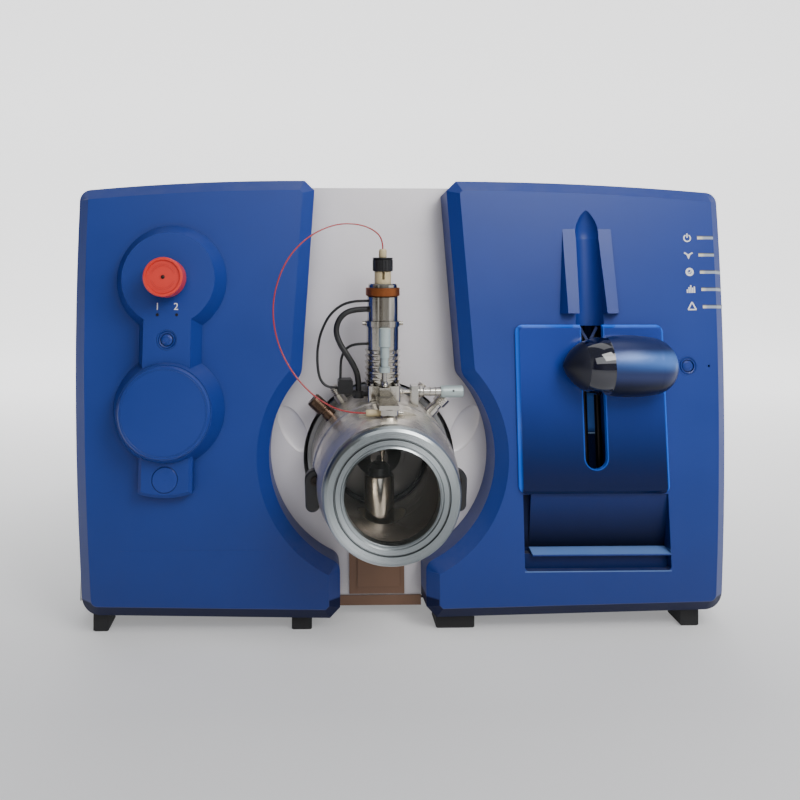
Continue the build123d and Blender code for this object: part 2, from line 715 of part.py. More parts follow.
def handle_slice(x0, x1):
    cut = Pos((x0 + x1) / 2, v_at(handle_z), 0) * Box(x1 - x0, 200, 300)
    return on_front(handle_shape() & cut)


# ---------------------------------------------------------------- ion source
ring_front = source_reach
cup_radius = 29.0
cup_floor_z = 112.0
probe_slot_half = 8.0
latch_ahead = 92.0
latch_thick = 11.0
latch_pivot_x = 81.0
latch_pivot_z = 189.0
latch_length = 28.0
port_ahead = 36.0
port_angles = (-47.0, 44.0)
small_port_angles = (-33.0, 30.0)
port_seat = 80.0
bracket_half = 11.0
union_ahead = 128.0
union_low, union_high = 266.0, 276.0
union_reach = 25.0
stage_travel = 5.0
lift_travel = 10.0


def radial(angle, along, shape):
    """Stand a shape, drawn along +Z, on the source axis at an angle from the vertical."""
    place = Pos(source_x, ahead(along), source_z) * Rot(0, angle, 0)
    return place * shape


def source_housing():
    profile = [(cavity_radius, flange_front + seat_gap), (housing_radius, flange_front + seat_gap),
               (housing_radius, housing_rim - 3), (housing_radius - 1.2, housing_rim), (82.2, 110), (79.4, 132),
               (76.6, 148), (74.6, housing_front), (64, housing_front), (64, 150), (cavity_radius, 150)]
    body = turned_ahead(profile)
    top = 120.0
    body -= block(source_x - 40, source_x + 40, ahead(tower_ahead + 24), ahead(tower_ahead - 24), flat_z, flat_z + top)
    slot = SlotOverall(2 * (probe_slot_half + stage_travel), 2 * probe_slot_half)
    body -= Pos(source_x, ahead(tower_ahead), source_z) * extrude(slot, amount=top)
    pocket_half = union_reach + stage_travel + 2
    body -= block(source_x - pocket_half, source_x + pocket_half, ahead(union_ahead + 14), ahead(union_ahead - 14),
                  union_low - 1, source_z + 110)
    body -= rod_z(cup_radius, cup_floor_z, source_z, source_x, ahead(tower_ahead - 8))
    for side in (-1, 1):
        low, high = sorted((source_x + side * 68, source_x + side * 100))
        body -= block(low, high, ahead(130), ahead(latch_ahead), latch_pivot_z - 45, latch_pivot_z + 14)
    for angle in port_angles:
        body -= radial(angle, port_ahead, rod_z(9.2, port_seat, port_seat + 10, 0, 0))
    for angle in small_port_angles:
        boss = rod_z(6.5, 78, 96, 0, 0) + rod_z(5, 96, 108, 0, 0)
        body += radial(angle, port_ahead - 18, boss)
    pin_radius = 3.0
    for side in (-1, 1):
        pin = Pos(source_x + side * latch_pivot_x, ahead(latch_ahead - 8), latch_pivot_z) * (
            Rot(90, 0, 0) * Cylinder(pin_radius, latch_thick + 8, align=(Align.CENTER, Align.CENTER, Align.MIN)))
        body += pin
    return body


def window_ring():
    back, front = housing_front, ring_front
    profile = [(glass_opening, back), (ring_radius, back), (ring_radius, front - 5), (ring_radius - 2, front - 1.5),
               (ring_radius - 5, front), (62.8, front), (62.0, front - 1.8), (61.2, front - 1.8), (60.4, front),
               (55.5, front), (54.5, front - 1.2), (53.2, front - 1.2), (51.6, front - 0.2), (glass_opening, front - 1)]
    return turned_ahead(profile)


def window_glass():
    """Glass disc in the seat behind the ring."""
    return turned_ahead([(0, 150), (63.6, 150), (63.6, housing_front), (0, housing_front)])


def exhaust_tube():
    y = ahead(tower_ahead - 8)
    return turned_z([(12, cup_floor_z), (18, cup_floor_z), (18, 180), (17, 181), (12, 181)], source_x - 3, y)


def exhaust_cap():
    y = ahead(tower_ahead - 8)
    return turned_z([(0, 175), (11.9, 175), (11.9, 181), (13.2, 181), (13.2, 190), (8, 195), (0, 195)], source_x - 3, y)


def source_port(angle, knurled):
    """Screw connector standing on the source at an angle."""
    if knurled:
        profile = [(0, port_seat), (8, port_seat), (8, 92), (6.5, 92), (6.5, 96), (9, 97), (9, 113), (8, 115),
                   (3, 115), (3, 110), (0, 110)]
    else:
        profile = [(0, port_seat), (7.5, port_seat), (7.5, 95), (6, 95), (6, 100), (8.5, 101), (8.5, 112),
                   (7, 112), (7, 106), (2, 106), (2, 110), (0, 110)]
    return radial(angle, port_ahead, revolve(Plane.XZ * filled(profile), Axis.Z))


def source_latch(side):
    """Black lever that hangs from its pin and swings outwards to free the source."""
    big, small = 12.0, 8.0
    lever = Circle(big) + Pos(side * 3, -latch_length) * Circle(small)
    spread = filled([(-big, 0), (big, 0), (side * 3 + small, -latch_length), (side * 3 - small, -latch_length)])
    shape = extrude(lever + spread, amount=latch_thick)
    shape = chamfer(shape.faces().sort_by(Axis.Z)[-1].edges(), 1.5)
    shape -= Pos(0, 0, -1) * Cylinder(3.0 + seat_gap, latch_thick + 2, align=(Align.CENTER, Align.CENTER, Align.MIN))
    front = Plane(origin=(source_x + side * latch_pivot_x, ahead(latch_ahead + seat_gap), latch_pivot_z),
                  x_dir=(1, 0, 0), z_dir=(0, -1, 0))
    return shape.moved(front.location)


# ---------------------------------------------------------------- probe tower
tower_y = ahead(tower_ahead)
base_low = flat_z + seat_gap
base_high = 291.5
base_half = 19.5
probe_bore = 6.5
neck_radius = 13.5
tube_low = base_high + seat_gap
tube_mid = 360.5
tube_top = 396.5
tube_radius = 19.4
upper_radius = 18.6
front_offset = 27.0         # vertical micrometer ahead of the tower axis
front_y_axis = tower_y - front_offset
side_z = 281.5
spindle_radius = 2.2
sleeve_radius = 4.3
side_sleeve_radius = 5.0


def tower_base():
    """Sliding block under the tower with its guide neck and the arm for the union."""
    y0, y1 = tower_y - 22, tower_y + 20
    body = block(source_x - base_half, source_x + base_half, y0, y1, base_low, base_high)
    body = fillet(body.edges().filter_by(Axis.Z), 5)
    body += rod_z(neck_radius, base_high - 1, 330, source_x, tower_y)
    arm_y = ahead(union_ahead + 11)
    body += block(source_x - bracket_half, source_x + bracket_half, arm_y, y0 + 1, union_high, union_high + 5)
    body += block(source_x - 6, source_x + 6, front_y_axis - 6, y0 + 1, union_high, base_high)
    body -= rod_z(probe_bore + clearance, base_low - 1, 331, source_x, tower_y)
    return body


def spindles():
    """Measuring spindles of both micrometers, resting on the sliding block."""
    front = turned_z([(0, base_high), (2.6, base_high), (4, base_high + 2), (4, base_high + 5), (spindle_radius, base_high + 7),
                      (spindle_radius, 352), (0, 352)], source_x, front_y_axis)
    end = source_x + base_half
    side = turned_x([(end, 0), (end, 3.4), (end + 4, 3.4), (end + 5, spindle_radius), (side_end - 6, spindle_radius),
                     (side_end - 6, 0)], 0, tower_y, side_z)
    return Compound([front, side])


side_start, side_end = 44.0, 71.0           # thimble of the horizontal micrometer


def side_sleeve():
    """Bracket post on the housing and the sleeve of the horizontal micrometer."""
    x0, x1 = 8.0, 16.0
    sleeve_end = side_start + 15
    post = block(x0, x1, tower_y - 9, tower_y + 9, 250, side_z + 8)
    hull = Pos(source_x, tower_y, source_z) * (Rot(90, 0, 0) * Cylinder(housing_radius + 0.05, 60))
    flat = block(source_x - 40, source_x + 40, tower_y - 24, tower_y + 24, flat_z, flat_z + 30)
    post -= hull - flat
    sleeve = turned_x([(x1 - 1, 0), (x1 - 1, 6.2), (x1 + 6, 6.2), (x1 + 6, side_sleeve_radius),
                       (sleeve_end, side_sleeve_radius), (sleeve_end, 0)], 0, tower_y, side_z)
    body = post + sleeve
    bore = turned_x([(x0 - 1, 0), (x0 - 1, spindle_radius + clearance),
                     (sleeve_end + 1, spindle_radius + clearance), (sleeve_end + 1, 0)],
                    0, tower_y, side_z)
    return body - bore


def thimble_side():
    inner = side_sleeve_radius + seat_gap
    return turned_x([(side_start, inner), (side_start, 6.6), (side_start + 2, 7.15), (side_end - 1, 7.15),
                     (side_end, 6.2), (side_end, 0), (side_end - 6 + seat_gap, 0), (side_end - 6 + seat_gap, inner)],
                    0, tower_y, side_z)


def union_fitting():
    """Grounding union under the arm, with the nut that takes the red tube."""
    y = ahead(union_ahead)
    body = turned_z([(0, union_low), (9.5, union_low), (9.5, union_low + 4), (12, union_low + 4), (12, union_high),
                     (0, union_high)], source_x, y)
    nut_end = source_x - union_reach
    nut = turned_x([(nut_end, 0), (nut_end, 3.2), (nut_end + 2, 3.8), (source_x - 9, 3.8),
                    (source_x - 9, 0)], 0, y, (union_low + union_high) / 2)
    other = turned_x([(source_x + 9, 0), (source_x + 9, 3.8), (source_x + 16, 3.8), (source_x + 16, 0)],
                     0, y, (union_low + union_high) / 2)
    return body + nut + other


block_x0, block_x1 = -80.0, -62.0
gland_x = -55.0
gland_top = 283.0


def cable_block():
    """Black connector block beside the tower, with a gland for the thick cable."""
    y = tower_y
    body = block(block_x0, block_x1, y - 8, y + 10, 280, 297)
    body = chamfer(body.edges().filter_by(Axis.Y), 2)
    body += block(block_x1 - 1, source_x - base_half, y - 5, y + 5, 277, 282)
    body += rod_z(6.5, 274.5, gland_top, gland_x, y)
    return body


def thimble_front():
    inner = sleeve_radius + seat_gap
    return turned_z([(inner, 325.6), (5.4, 325.6), (5.4, 338), (7, 339), (7, 359.4), (6, 360.2), (0, 360.2),
                     (0, 352 + seat_gap), (inner, 352 + seat_gap)], source_x, front_y_axis)


def tower_tube():
    """Telescoping tube with its ringed lower part, the upper tube and the micrometer's lug."""
    ring_low, ring_pitch, ring_count, ring_out = 293.0, 7.0, 6, 2.2
    profile = [(neck_radius + seat_gap, tube_low), (tube_radius, tube_low)]
    for index in range(ring_count):
        z = ring_low + index * ring_pitch
        profile += [(tube_radius, z), (tube_radius + ring_out, z + 4.2), (tube_radius, z + 5.0)]
    profile += [(tube_radius, tube_mid), (upper_radius, tube_mid), (upper_radius, tube_top - 1),
                (upper_radius - 1, tube_top), (neck_radius + seat_gap, tube_top)]
    body = turned_z(profile, source_x, tower_y)
    y_cut = tower_y - front_offset + 8.2
    body -= block(source_x - 30, source_x + 30, y_cut - 20, y_cut, tube_low - 1, tube_mid + 0.1)
    return body


def front_sleeve():
    """Sleeve of the vertical micrometer and the dark lug that holds it on the tube."""
    lug = rod_z(6.2, 309, 315, source_x, front_y_axis)
    lug += block(source_x - 6, source_x + 6, front_y_axis, front_y_axis + 8.2, 309, 315)
    sleeve = rod_z(sleeve_radius, 314, 340, source_x, front_y_axis)
    body = lug + sleeve
    return body - rod_z(spindle_radius + clearance, 300, 341, source_x, front_y_axis)


def clamp_collar():
    low, high = tube_mid, tube_mid + 6.5
    inner = upper_radius + 0.05
    body = turned_z([(inner, low), (21, low), (21, high), (inner, high)], source_x, tower_y)
    for side in (-1, 1):
        screw = Rot(0, 90, 0) * Cylinder(2.6, 5)
        body += Pos(source_x + side * 22, tower_y, (low + high) / 2) * screw
    return body


def retaining_ring():
    low = tube_top + seat_gap
    inner = 12.5
    return turned_z([(inner, low), (20, low), (20.6, low + 0.8), (20.6, low + 9), (20, low + 9.8), (inner, low + 9.8)],
                    source_x, tower_y)


ring_top = tube_top + seat_gap + 9.8


def probe_body():
    """Probe with its flange and the spray needle that reaches into the source."""
    flange = ring_top + seat_gap
    return turned_z([(0, 198), (1, 198), (2.5, 206), (probe_bore - 0.5, 222), (probe_bore - 0.5, 340), (12, 342),
                     (12, flange), (17.5, flange), (17.5, flange + 3), (16.5, flange + 4.5), (0, flange + 4.5)],
                    source_x, tower_y)


flange_top = ring_top + seat_gap + 4.5
collar_top = flange_top + 14.5


def adjust_collar():
    """Slotted collar under the electrode nut."""
    body = turned_z([(4, flange_top), (10, flange_top), (10, collar_top), (4, collar_top)], source_x, tower_y)
    body -= block(source_x - 1.5, source_x + 1.5, tower_y - 11, tower_y - 3, flange_top + 5, collar_top + 1)
    body += rod_z(4, flange_top, collar_top + 17, source_x, tower_y)
    return body


nut_low = collar_top + seat_gap


def electrode_nut():
    inner = 4.0 + seat_gap
    body = turned_z([(inner, nut_low), (11.6, nut_low), (12.2, nut_low + 1), (12.2, nut_low + 14), (11.2, nut_low + 14.6),
                     (12.2, nut_low + 15.2), (12.2, nut_low + 16), (11.6, nut_low + 16.4), (inner, nut_low + 16.4)],
                    source_x, tower_y)
    flute_count = 18
    for index in range(flute_count):
        angle = index * 2 * pi / flute_count
        body -= rod_z(0.8, nut_low + 1.5, nut_low + 13.5, source_x + 12.4 * cos(angle), tower_y + 12.4 * sin(angle))
    return body


def tube_nut():
    low = collar_top + 17
    return turned_z([(0, low), (4.8, low), (4.8, low + 8), (3.8, low + 10), (0, low + 10)], source_x, tower_y)


tube_exit = collar_top + 27


# ---------------------------------------------------------------- cords
tube_diameter = 1.8
cable_diameter = 7.0
thin_diameter = 3.2
bend_share = 0.45


def cord(points, diameter):
    """Round cord along straight runs joined by the largest tangent arcs that its runs allow."""
    radii = []
    for before, here, after in zip(points, points[1:], points[2:]):
        run_in = Vector(*here) - Vector(*before)
        run_out = Vector(*after) - Vector(*here)
        turn = radians(run_in.get_angle(run_out))
        radii.append(bend_share * min(run_in.length, run_out.length) / tan(turn / 2))
    path = FilletPolyline(*points, radius=radii)
    start = Plane(origin=points[0], z_dir=Vector(*points[1]) - Vector(*points[0]))
    tube = sweep(start * Circle(diameter / 2), path=path)
    expected = pi * diameter ** 2 / 4 * path.length
    print(f"cord length {path.length:.1f}  least radius {min(radii):.1f}  "
          f"volume ratio {tube.volume / expected:.4f}  radii {[round(r, 1) for r in radii]}")
    return tube


red_route = [
    (source_x, tower_y, tube_exit), (source_x, tower_y, tube_exit + 11), (-35, -331, 475), (-55, -335, 483),
    (-83, -341, 483), (-113, -350, 470), (-137, -359, 447), (-151, -366, 418), (-157, -371, 386),
    (-153, -375, 353), (-140, -379, 322), (-119, -384, 295), (-93, -392, 277),
    (source_x - union_reach - 18, ahead(union_ahead), (union_low + union_high) / 2),
    (source_x - union_reach, ahead(union_ahead), (union_low + union_high) / 2),
]
main_route = [
    (source_x - upper_radius, tower_y, 380.5), (-63, tower_y, 380.5), (-77.4, -330, 371.5), (-83.2, -331, 355.5),
    (-78, -332, 339.3), (-68.2, -333, 325.4), (-59.5, -332, 311), (gland_x, tower_y, 298),
    (gland_x, tower_y, gland_top),
]
outer_route = [
    (source_x - upper_radius, tower_y, 390.5), (-58, tower_y, 390.5), (-75, -324, 386), (-90, -321, 373),
    (-100, -320, 353), (-104.3, -320, 333), (-104.6, -322, 315), (-102.5, -325, 299.5), (-98, -326.5, 291),
    (-89.8, tower_y + 2, 286), (block_x0, tower_y + 2, 286),
]
inner_route = [
    (source_x - tube_radius, tower_y, 339), (-58, tower_y, 339), (-69, -324, 334), (-75.2, -322.5, 323),
    (-76.5, tower_y + 5, 310), (-76.5, tower_y + 5, 297),
]


# ---------------------------------------------------------------- build everything
parts["base_frame"] = base_frame()
parts["feet"] = feet()
parts["side_panel_left"] = side_panel(-1)
parts["side_panel_right"] = side_panel(1)
parts["top_cover"] = top_cover()
parts["rear_panel"] = rear_panel()
parts["centre_fascia"] = centre_fascia()
parts["drip_plate"] = drip_plate()
parts["front_left_cover"] = front_left_cover()
parts["front_right_cover"] = front_right_cover()
parts["vacuum_manifold"] = vacuum_manifold()
parts["interface_flange"] = interface_flange()
parts["interface_seal"] = interface_seal()
parts["fan_frame"] = fan_frame()
parts["fan_rotor"] = fan_rotor()
parts["power_inlet"] = power_inlet()
parts["power_switch"] = power_switch()
parts["rear_ports"] = rear_ports()
parts["valve_collar"] = valve_collar()
parts["valve_cap"] = valve_cap()
parts["valve_button"] = push_button(pod_x, v_at(cover_button_z), pod_height)
parts["round_cover"] = round_cover()
parts["blank_plug"] = blank_plug()
parts["indicator_lights"] = indicator_lights()
parts["syringe_panel"] = syringe_panel()
parts["guide_rods"] = guide_rods()
parts["lead_screw"] = lead_screw()
parts["carriage_block"] = carriage_block()
parts["handle_nose"] = handle_slice(handle_left - 1, nose_end)
parts["handle_band"] = handle_slice(nose_end, band_end)
parts["handle_grip"] = handle_slice(band_end, handle_right + 1)
parts["pump_button"] = push_button(pump_button_x, v_at(pump_button_z), 0.0)
parts["source_housing"] = source_housing()
parts["window_ring"] = window_ring()
parts["window_glass"] = window_glass()
parts["exhaust_tube"] = exhaust_tube()
parts["exhaust_cap"] = exhaust_cap()
parts["source_port_left"] = source_port(port_angles[0], True)
parts["source_port_right"] = source_port(port_angles[1], False)
parts["source_latch_left"] = source_latch(-1)
parts["source_latch_right"] = source_latch(1)
parts["side_sleeve"] = side_sleeve()
parts["tower_base"] = tower_base()
parts["spindles"] = spindles()
parts["thimble_side"] = thimble_side()
parts["thimble_front"] = thimble_front()
parts["union_fitting"] = union_fitting()
parts["cable_block"] = cable_block()
parts["tower_tube"] = tower_tube()
parts["front_sleeve"] = front_sleeve()
parts["clamp_collar"] = clamp_collar()
parts["retaining_ring"] = retaining_ring()
parts["probe_body"] = probe_body()
parts["adjust_collar"] = adjust_collar()
parts["electrode_nut"] = electrode_nut()
parts["tube_nut"] = tube_nut()
parts["red_tube"] = cord(red_route, tube_diameter)
parts["probe_cable"] = cord(main_route, cable_diameter)
parts["outer_cable"] = cord(outer_route, thin_diameter)
parts["inner_cable"] = cord(inner_route, thin_diameter)

os.makedirs("parts", exist_ok=True)
for name, shape in parts.items():
    export_step(shape, f"parts/{name}.step")
print(len(parts), "parts written")
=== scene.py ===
import math

import bmesh
import bpy
from mathutils import Matrix, Vector


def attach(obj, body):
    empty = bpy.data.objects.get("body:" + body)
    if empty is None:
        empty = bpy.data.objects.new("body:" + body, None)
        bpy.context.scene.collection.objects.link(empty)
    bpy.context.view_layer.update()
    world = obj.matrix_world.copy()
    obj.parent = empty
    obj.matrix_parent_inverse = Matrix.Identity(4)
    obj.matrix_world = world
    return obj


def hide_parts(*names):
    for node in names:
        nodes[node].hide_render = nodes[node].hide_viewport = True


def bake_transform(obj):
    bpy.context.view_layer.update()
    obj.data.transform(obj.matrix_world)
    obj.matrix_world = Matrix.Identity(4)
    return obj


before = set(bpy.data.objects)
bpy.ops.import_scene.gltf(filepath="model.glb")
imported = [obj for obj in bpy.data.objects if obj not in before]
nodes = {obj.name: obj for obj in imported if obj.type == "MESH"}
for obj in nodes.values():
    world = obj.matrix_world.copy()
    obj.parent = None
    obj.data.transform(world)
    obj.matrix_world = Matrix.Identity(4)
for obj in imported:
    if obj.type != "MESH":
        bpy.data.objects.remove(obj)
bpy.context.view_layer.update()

mm = 0.001


# Linear colour from the usual 0 to 255 values
def tone(r, g, b):
    return tuple(((c / 255 + 0.055) / 1.055) ** 2.4 if c > 10 else c / 255 / 12.92
                 for c in (r, g, b)) + (1.0,)


# Places shared with the solids, in millimetres
lean = math.radians(5.6)
faceOrigin = Vector((0, -334, 285))
upFront = Vector((0, math.sin(lean), math.cos(lean)))
outFront = Vector((0, -math.cos(lean), math.sin(lean)))
fasciaY = -274.0
sourceX, sourceZ = -26.0, 191.0
towerY = fasciaY - 55.0
rearY = 416.0
sideZ = 281.5


def alongUp(z):
    return (z - faceOrigin.z) / math.cos(lean)


# Place on the leaning front: X across, Y up the front, Z out of it
def frontMatrix(x, z, out=0.0):
    at = (faceOrigin + upFront * alongUp(z) + outFront * out + Vector((x, 0, 0))) * mm
    place = Matrix.Identity(4)
    for row in range(3):
        place[row][0] = (1, 0, 0)[row]
        place[row][1] = upFront[row]
        place[row][2] = outFront[row]
        place[row][3] = at[row]
    return place


def uprightMatrix(x, y, z):
    return Matrix.Translation(Vector((x, y, z)) * mm)


# X across, Y up and Z towards the viewer
def aheadMatrix(x, y, z):
    return Matrix.Translation(Vector((x, y, z)) * mm) @ Matrix.Rotation(math.radians(90), 4, "X")


cameraSet = {
    "place": (-0.114, -1.2916, 0.4568),
    "yaw": 1.51, "pitch": -0.839, "roll": 0.148,
    "shift": (0.0864, -0.2076),
    "lens": 36.0,
}
cameraData = bpy.data.cameras.new("Camera")
cameraData.sensor_width = 36.0
cameraData.lens = cameraSet["lens"]
cameraData.shift_x, cameraData.shift_y = cameraSet["shift"]
cameraData.dof.use_dof = False
camera = bpy.data.objects.new("Camera", cameraData)
bpy.context.scene.collection.objects.link(camera)
turnYaw = Matrix.Rotation(-math.radians(cameraSet["yaw"]), 4, "Z")
turnPitch = Matrix.Rotation(math.radians(90 - cameraSet["pitch"]), 4, "X")
turnRoll = Matrix.Rotation(math.radians(cameraSet["roll"]), 4, "Z")
camera.matrix_world = Matrix.Translation(cameraSet["place"]) @ turnYaw @ turnPitch @ turnRoll
bpy.context.scene.camera = camera

# Route points in metres, the same as the solids have
cordRoutes = {
    "redTube": ("red_tube", 0.0018, [
        (-0.026, -0.329, 0.4525), (-0.026, -0.329, 0.4635), (-0.035, -0.331, 0.475), (-0.055, -0.335, 0.483),
        (-0.083, -0.341, 0.483), (-0.113, -0.350, 0.470), (-0.137, -0.359, 0.447), (-0.151, -0.366, 0.418),
        (-0.157, -0.371, 0.386), (-0.153, -0.375, 0.353), (-0.140, -0.379, 0.322), (-0.119, -0.384, 0.295),
        (-0.093, -0.392, 0.277), (-0.069, -0.402, 0.271), (-0.051, -0.402, 0.271)]),
    "probeCable": ("probe_cable", 0.007, [
        (-0.0446, -0.329, 0.3805), (-0.063, -0.329, 0.3805), (-0.0774, -0.330, 0.3715),
        (-0.0832, -0.331, 0.3555), (-0.078, -0.332, 0.3393), (-0.0682, -0.333, 0.3254),
        (-0.0595, -0.332, 0.311), (-0.055, -0.329, 0.298), (-0.055, -0.329, 0.283)]),
    "outerCable": ("outer_cable", 0.0032, [
        (-0.0446, -0.329, 0.3905), (-0.058, -0.329, 0.3905), (-0.075, -0.324, 0.386), (-0.090, -0.321, 0.373),
        (-0.100, -0.320, 0.353), (-0.1043, -0.320, 0.333), (-0.1046, -0.322, 0.315),
        (-0.1025, -0.325, 0.2995), (-0.098, -0.3265, 0.291), (-0.0898, -0.327, 0.286),
        (-0.080, -0.327, 0.286)]),
    "innerCable": ("inner_cable", 0.0032, [
        (-0.0454, -0.329, 0.339), (-0.058, -0.329, 0.339), (-0.069, -0.324, 0.334), (-0.0752, -0.3225, 0.323),
        (-0.0765, -0.324, 0.310), (-0.0765, -0.324, 0.297)]),
}


# Points along a curve object's own line, in order
def centreLine(curve):
    curve.data.bevel_depth = 0
    mesh = bpy.data.meshes.new_from_object(curve)
    return [vertex.co.copy() for vertex in mesh.vertices]


cords = {}
for cordName, (cadNode, diameter, route) in cordRoutes.items():
    data = bpy.data.curves.new(cordName + "Line", "CURVE")
    data.dimensions = "3D"
    data.resolution_u = 8
    data.bevel_depth = diameter / 2
    data.bevel_resolution = 4
    data.use_fill_caps = True
    spline = data.splines.new("NURBS")
    spline.points.add(len(route) - 1)
    for point, co in zip(spline.points, route):
        point.co = (*co, 1.0)
    spline.order_u = 3
    spline.use_endpoint_u = True
    holder = bpy.data.objects.new(cordName + "Line", data)
    bpy.context.scene.collection.objects.link(holder)
    piece = bpy.data.objects.new(cordName, bpy.data.meshes.new_from_object(holder))
    bpy.context.scene.collection.objects.link(piece)
    line = centreLine(holder)
    bpy.data.objects.remove(holder)
    for face in piece.data.polygons:
        face.use_smooth = True
    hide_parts(cadNode)
    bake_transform(piece)
    cords[cordName] = piece
print("stage: camera and cords")


def newGroup(name, inputs, outputs):
    group = bpy.data.node_groups.new(name, "ShaderNodeTree")
    for label, kind, value in inputs:
        socket = group.interface.new_socket(label, in_out="INPUT", socket_type=kind)
        if value is not None:
            socket.default_value = value
    for label, kind in outputs:
        group.interface.new_socket(label, in_out="OUTPUT", socket_type=kind)
    return group, group.nodes.new("NodeGroupInput"), group.nodes.new("NodeGroupOutput")


# Adds a node: settings are its own properties, links feed or set its sockets
def node(tree, kind, links=None, **settings):
    made = tree.nodes.new(kind)
    for key, value in settings.items():
        setattr(made, key, value)
    for socket, source in (links or {}).items():
        if isinstance(source, bpy.types.NodeSocket):
            tree.links.new(source, made.inputs[socket])
        else:
            made.inputs[socket].default_value = source
    return made


def maths(tree, operation, first, second=None, clamp=False):
    links = {0: first}
    if second is not None:
        links[1] = second
    return node(tree, "ShaderNodeMath", links, operation=operation, use_clamp=clamp).outputs[0]


# Fine moulded or sprayed texture with slow patches
def grainGroup():
    group, start, end = newGroup("fineGrain", [
        ("Scale", "NodeSocketFloat", 900.0), ("Strength", "NodeSocketFloat", 0.2),
        ("Stretch", "NodeSocketVector", (1.0, 1.0, 1.0))],
        [("Normal", "NodeSocketVector"), ("Grain", "NodeSocketFloat"), ("Patches", "NodeSocketFloat")])
    place = node(group, "ShaderNodeTexCoord").outputs["Object"]
    stretched = node(group, "ShaderNodeVectorMath", {0: place, 1: start.outputs["Stretch"]},
                     operation="MULTIPLY")
    noise = node(group, "ShaderNodeTexNoise", {"Vector": stretched.outputs[0],
                                               "Scale": start.outputs["Scale"], "Detail": 3.0,
                                               "Roughness": 0.6})
    slow = node(group, "ShaderNodeTexNoise", {"Vector": place, "Scale": 11.0, "Detail": 4.0,
                                              "Roughness": 0.55})
    bump = node(group, "ShaderNodeBump", {"Strength": start.outputs["Strength"], "Distance": 0.0004,
                                          "Height": noise.outputs[0]})
    group.links.new(bump.outputs[0], end.inputs["Normal"])
    group.links.new(noise.outputs[0], end.inputs["Grain"])
    group.links.new(slow.outputs[0], end.inputs["Patches"])
    return group


# Mask of inner corners and narrow places, where painted shade darkens the colour
def crevicesGroup():
    group, start, end = newGroup("crevices", [("Reach", "NodeSocketFloat", 0.012)],
                                 [("Mask", "NodeSocketFloat")])
    near = node(group, "ShaderNodeAmbientOcclusion", {"Distance": start.outputs["Reach"]}, samples=6)
    ramp = node(group, "ShaderNodeMapRange", {0: near.outputs["AO"], 1: 0.25, 2: 0.95, 3: 1.0, 4: 0.0})
    group.links.new(ramp.outputs[0], end.inputs["Mask"])
    return group


# Mask of dust that settles on faces turned up, broken by noise
def settledGroup():
    group, start, end = newGroup("settledDust", [("Amount", "NodeSocketFloat", 0.2)],
                                 [("Mask", "NodeSocketFloat")])
    facing = node(group, "ShaderNodeSeparateXYZ", {0: node(group, "ShaderNodeNewGeometry").outputs["Normal"]})
    up = node(group, "ShaderNodeMapRange", {0: facing.outputs[2], 1: 0.35, 2: 1.0, 3: 0.0, 4: 1.0})
    place = node(group, "ShaderNodeTexCoord").outputs["Object"]
    noise = node(group, "ShaderNodeTexNoise", {"Vector": place, "Scale": 35.0, "Detail": 6.0,
                                               "Roughness": 0.7})
    spots = node(group, "ShaderNodeMapRange", {0: noise.outputs[0], 1: 0.35, 2: 0.7, 3: 0.2, 4: 1.0})
    mixed = maths(group, "MULTIPLY", up.outputs[0], spots.outputs[0])
    group.links.new(maths(group, "MULTIPLY", mixed, start.outputs["Amount"]), end.inputs["Mask"])
    return group


# Tool marks of turned metal: fine rings about an axis given by its point and direction
def turnedGroup():
    group, start, end = newGroup("turnedMarks", [
        ("Point", "NodeSocketVector", (0.0, 0.0, 0.0)), ("Keep", "NodeSocketVector", (1.0, 0.0, 1.0)),
        ("Scale", "NodeSocketFloat", 2600.0), ("Strength", "NodeSocketFloat", 0.12)],
        [("Normal", "NodeSocketVector"), ("Marks", "NodeSocketFloat")])
    place = node(group, "ShaderNodeTexCoord").outputs["Object"]
    moved = node(group, "ShaderNodeVectorMath", {0: place, 1: start.outputs["Point"]}, operation="SUBTRACT")
    flat = node(group, "ShaderNodeVectorMath", {0: moved.outputs[0], 1: start.outputs["Keep"]},
                operation="MULTIPLY")
    away = node(group, "ShaderNodeVectorMath", {0: flat.outputs[0]}, operation="LENGTH")
    rest = node(group, "ShaderNodeVectorMath", {0: moved.outputs[0], 1: flat.outputs[0]},
                operation="SUBTRACT")
    along = node(group, "ShaderNodeVectorMath", {0: rest.outputs[0], 1: (1.0, 1.0, 1.0)},
                 operation="DOT_PRODUCT")
    rings = node(group, "ShaderNodeCombineXYZ", {0: away.outputs["Value"], 1: along.outputs["Value"], 2: 0.0})
    noise = node(group, "ShaderNodeTexNoise", {"Vector": rings.outputs[0], "Scale": start.outputs["Scale"],
                                               "Detail": 2.0, "Roughness": 0.7})
    bump = node(group, "ShaderNodeBump", {"Strength": start.outputs["Strength"], "Distance": 0.0002,
                                          "Height": noise.outputs[0]})
    group.links.new(bump.outputs[0], end.inputs["Normal"])
    group.links.new(noise.outputs[0], end.inputs["Marks"])
    return group


# Position on the leaning front in metres: across, up the front and out of it
def frontPlaceGroup():
    group, start, end = newGroup("frontPlace", [], [("Across", "NodeSocketFloat"), ("Up", "NodeSocketFloat"),
                                                    ("Out", "NodeSocketFloat")])
    place = node(group, "ShaderNodeTexCoord").outputs["Object"]
    moved = node(group, "ShaderNodeVectorMath", {0: place, 1: tuple(faceOrigin * mm)}, operation="SUBTRACT")
    for label, axis in (("Across", (1, 0, 0)), ("Up", tuple(upFront)), ("Out", tuple(outFront))):
        part = node(group, "ShaderNodeVectorMath", {0: moved.outputs[0], 1: axis}, operation="DOT_PRODUCT")
        group.links.new(part.outputs["Value"], end.inputs[label])
    return group


groups = {"grain": grainGroup(), "crevices": crevicesGroup(), "dust": settledGroup(), "turned": turnedGroup(),
          "front": frontPlaceGroup()}


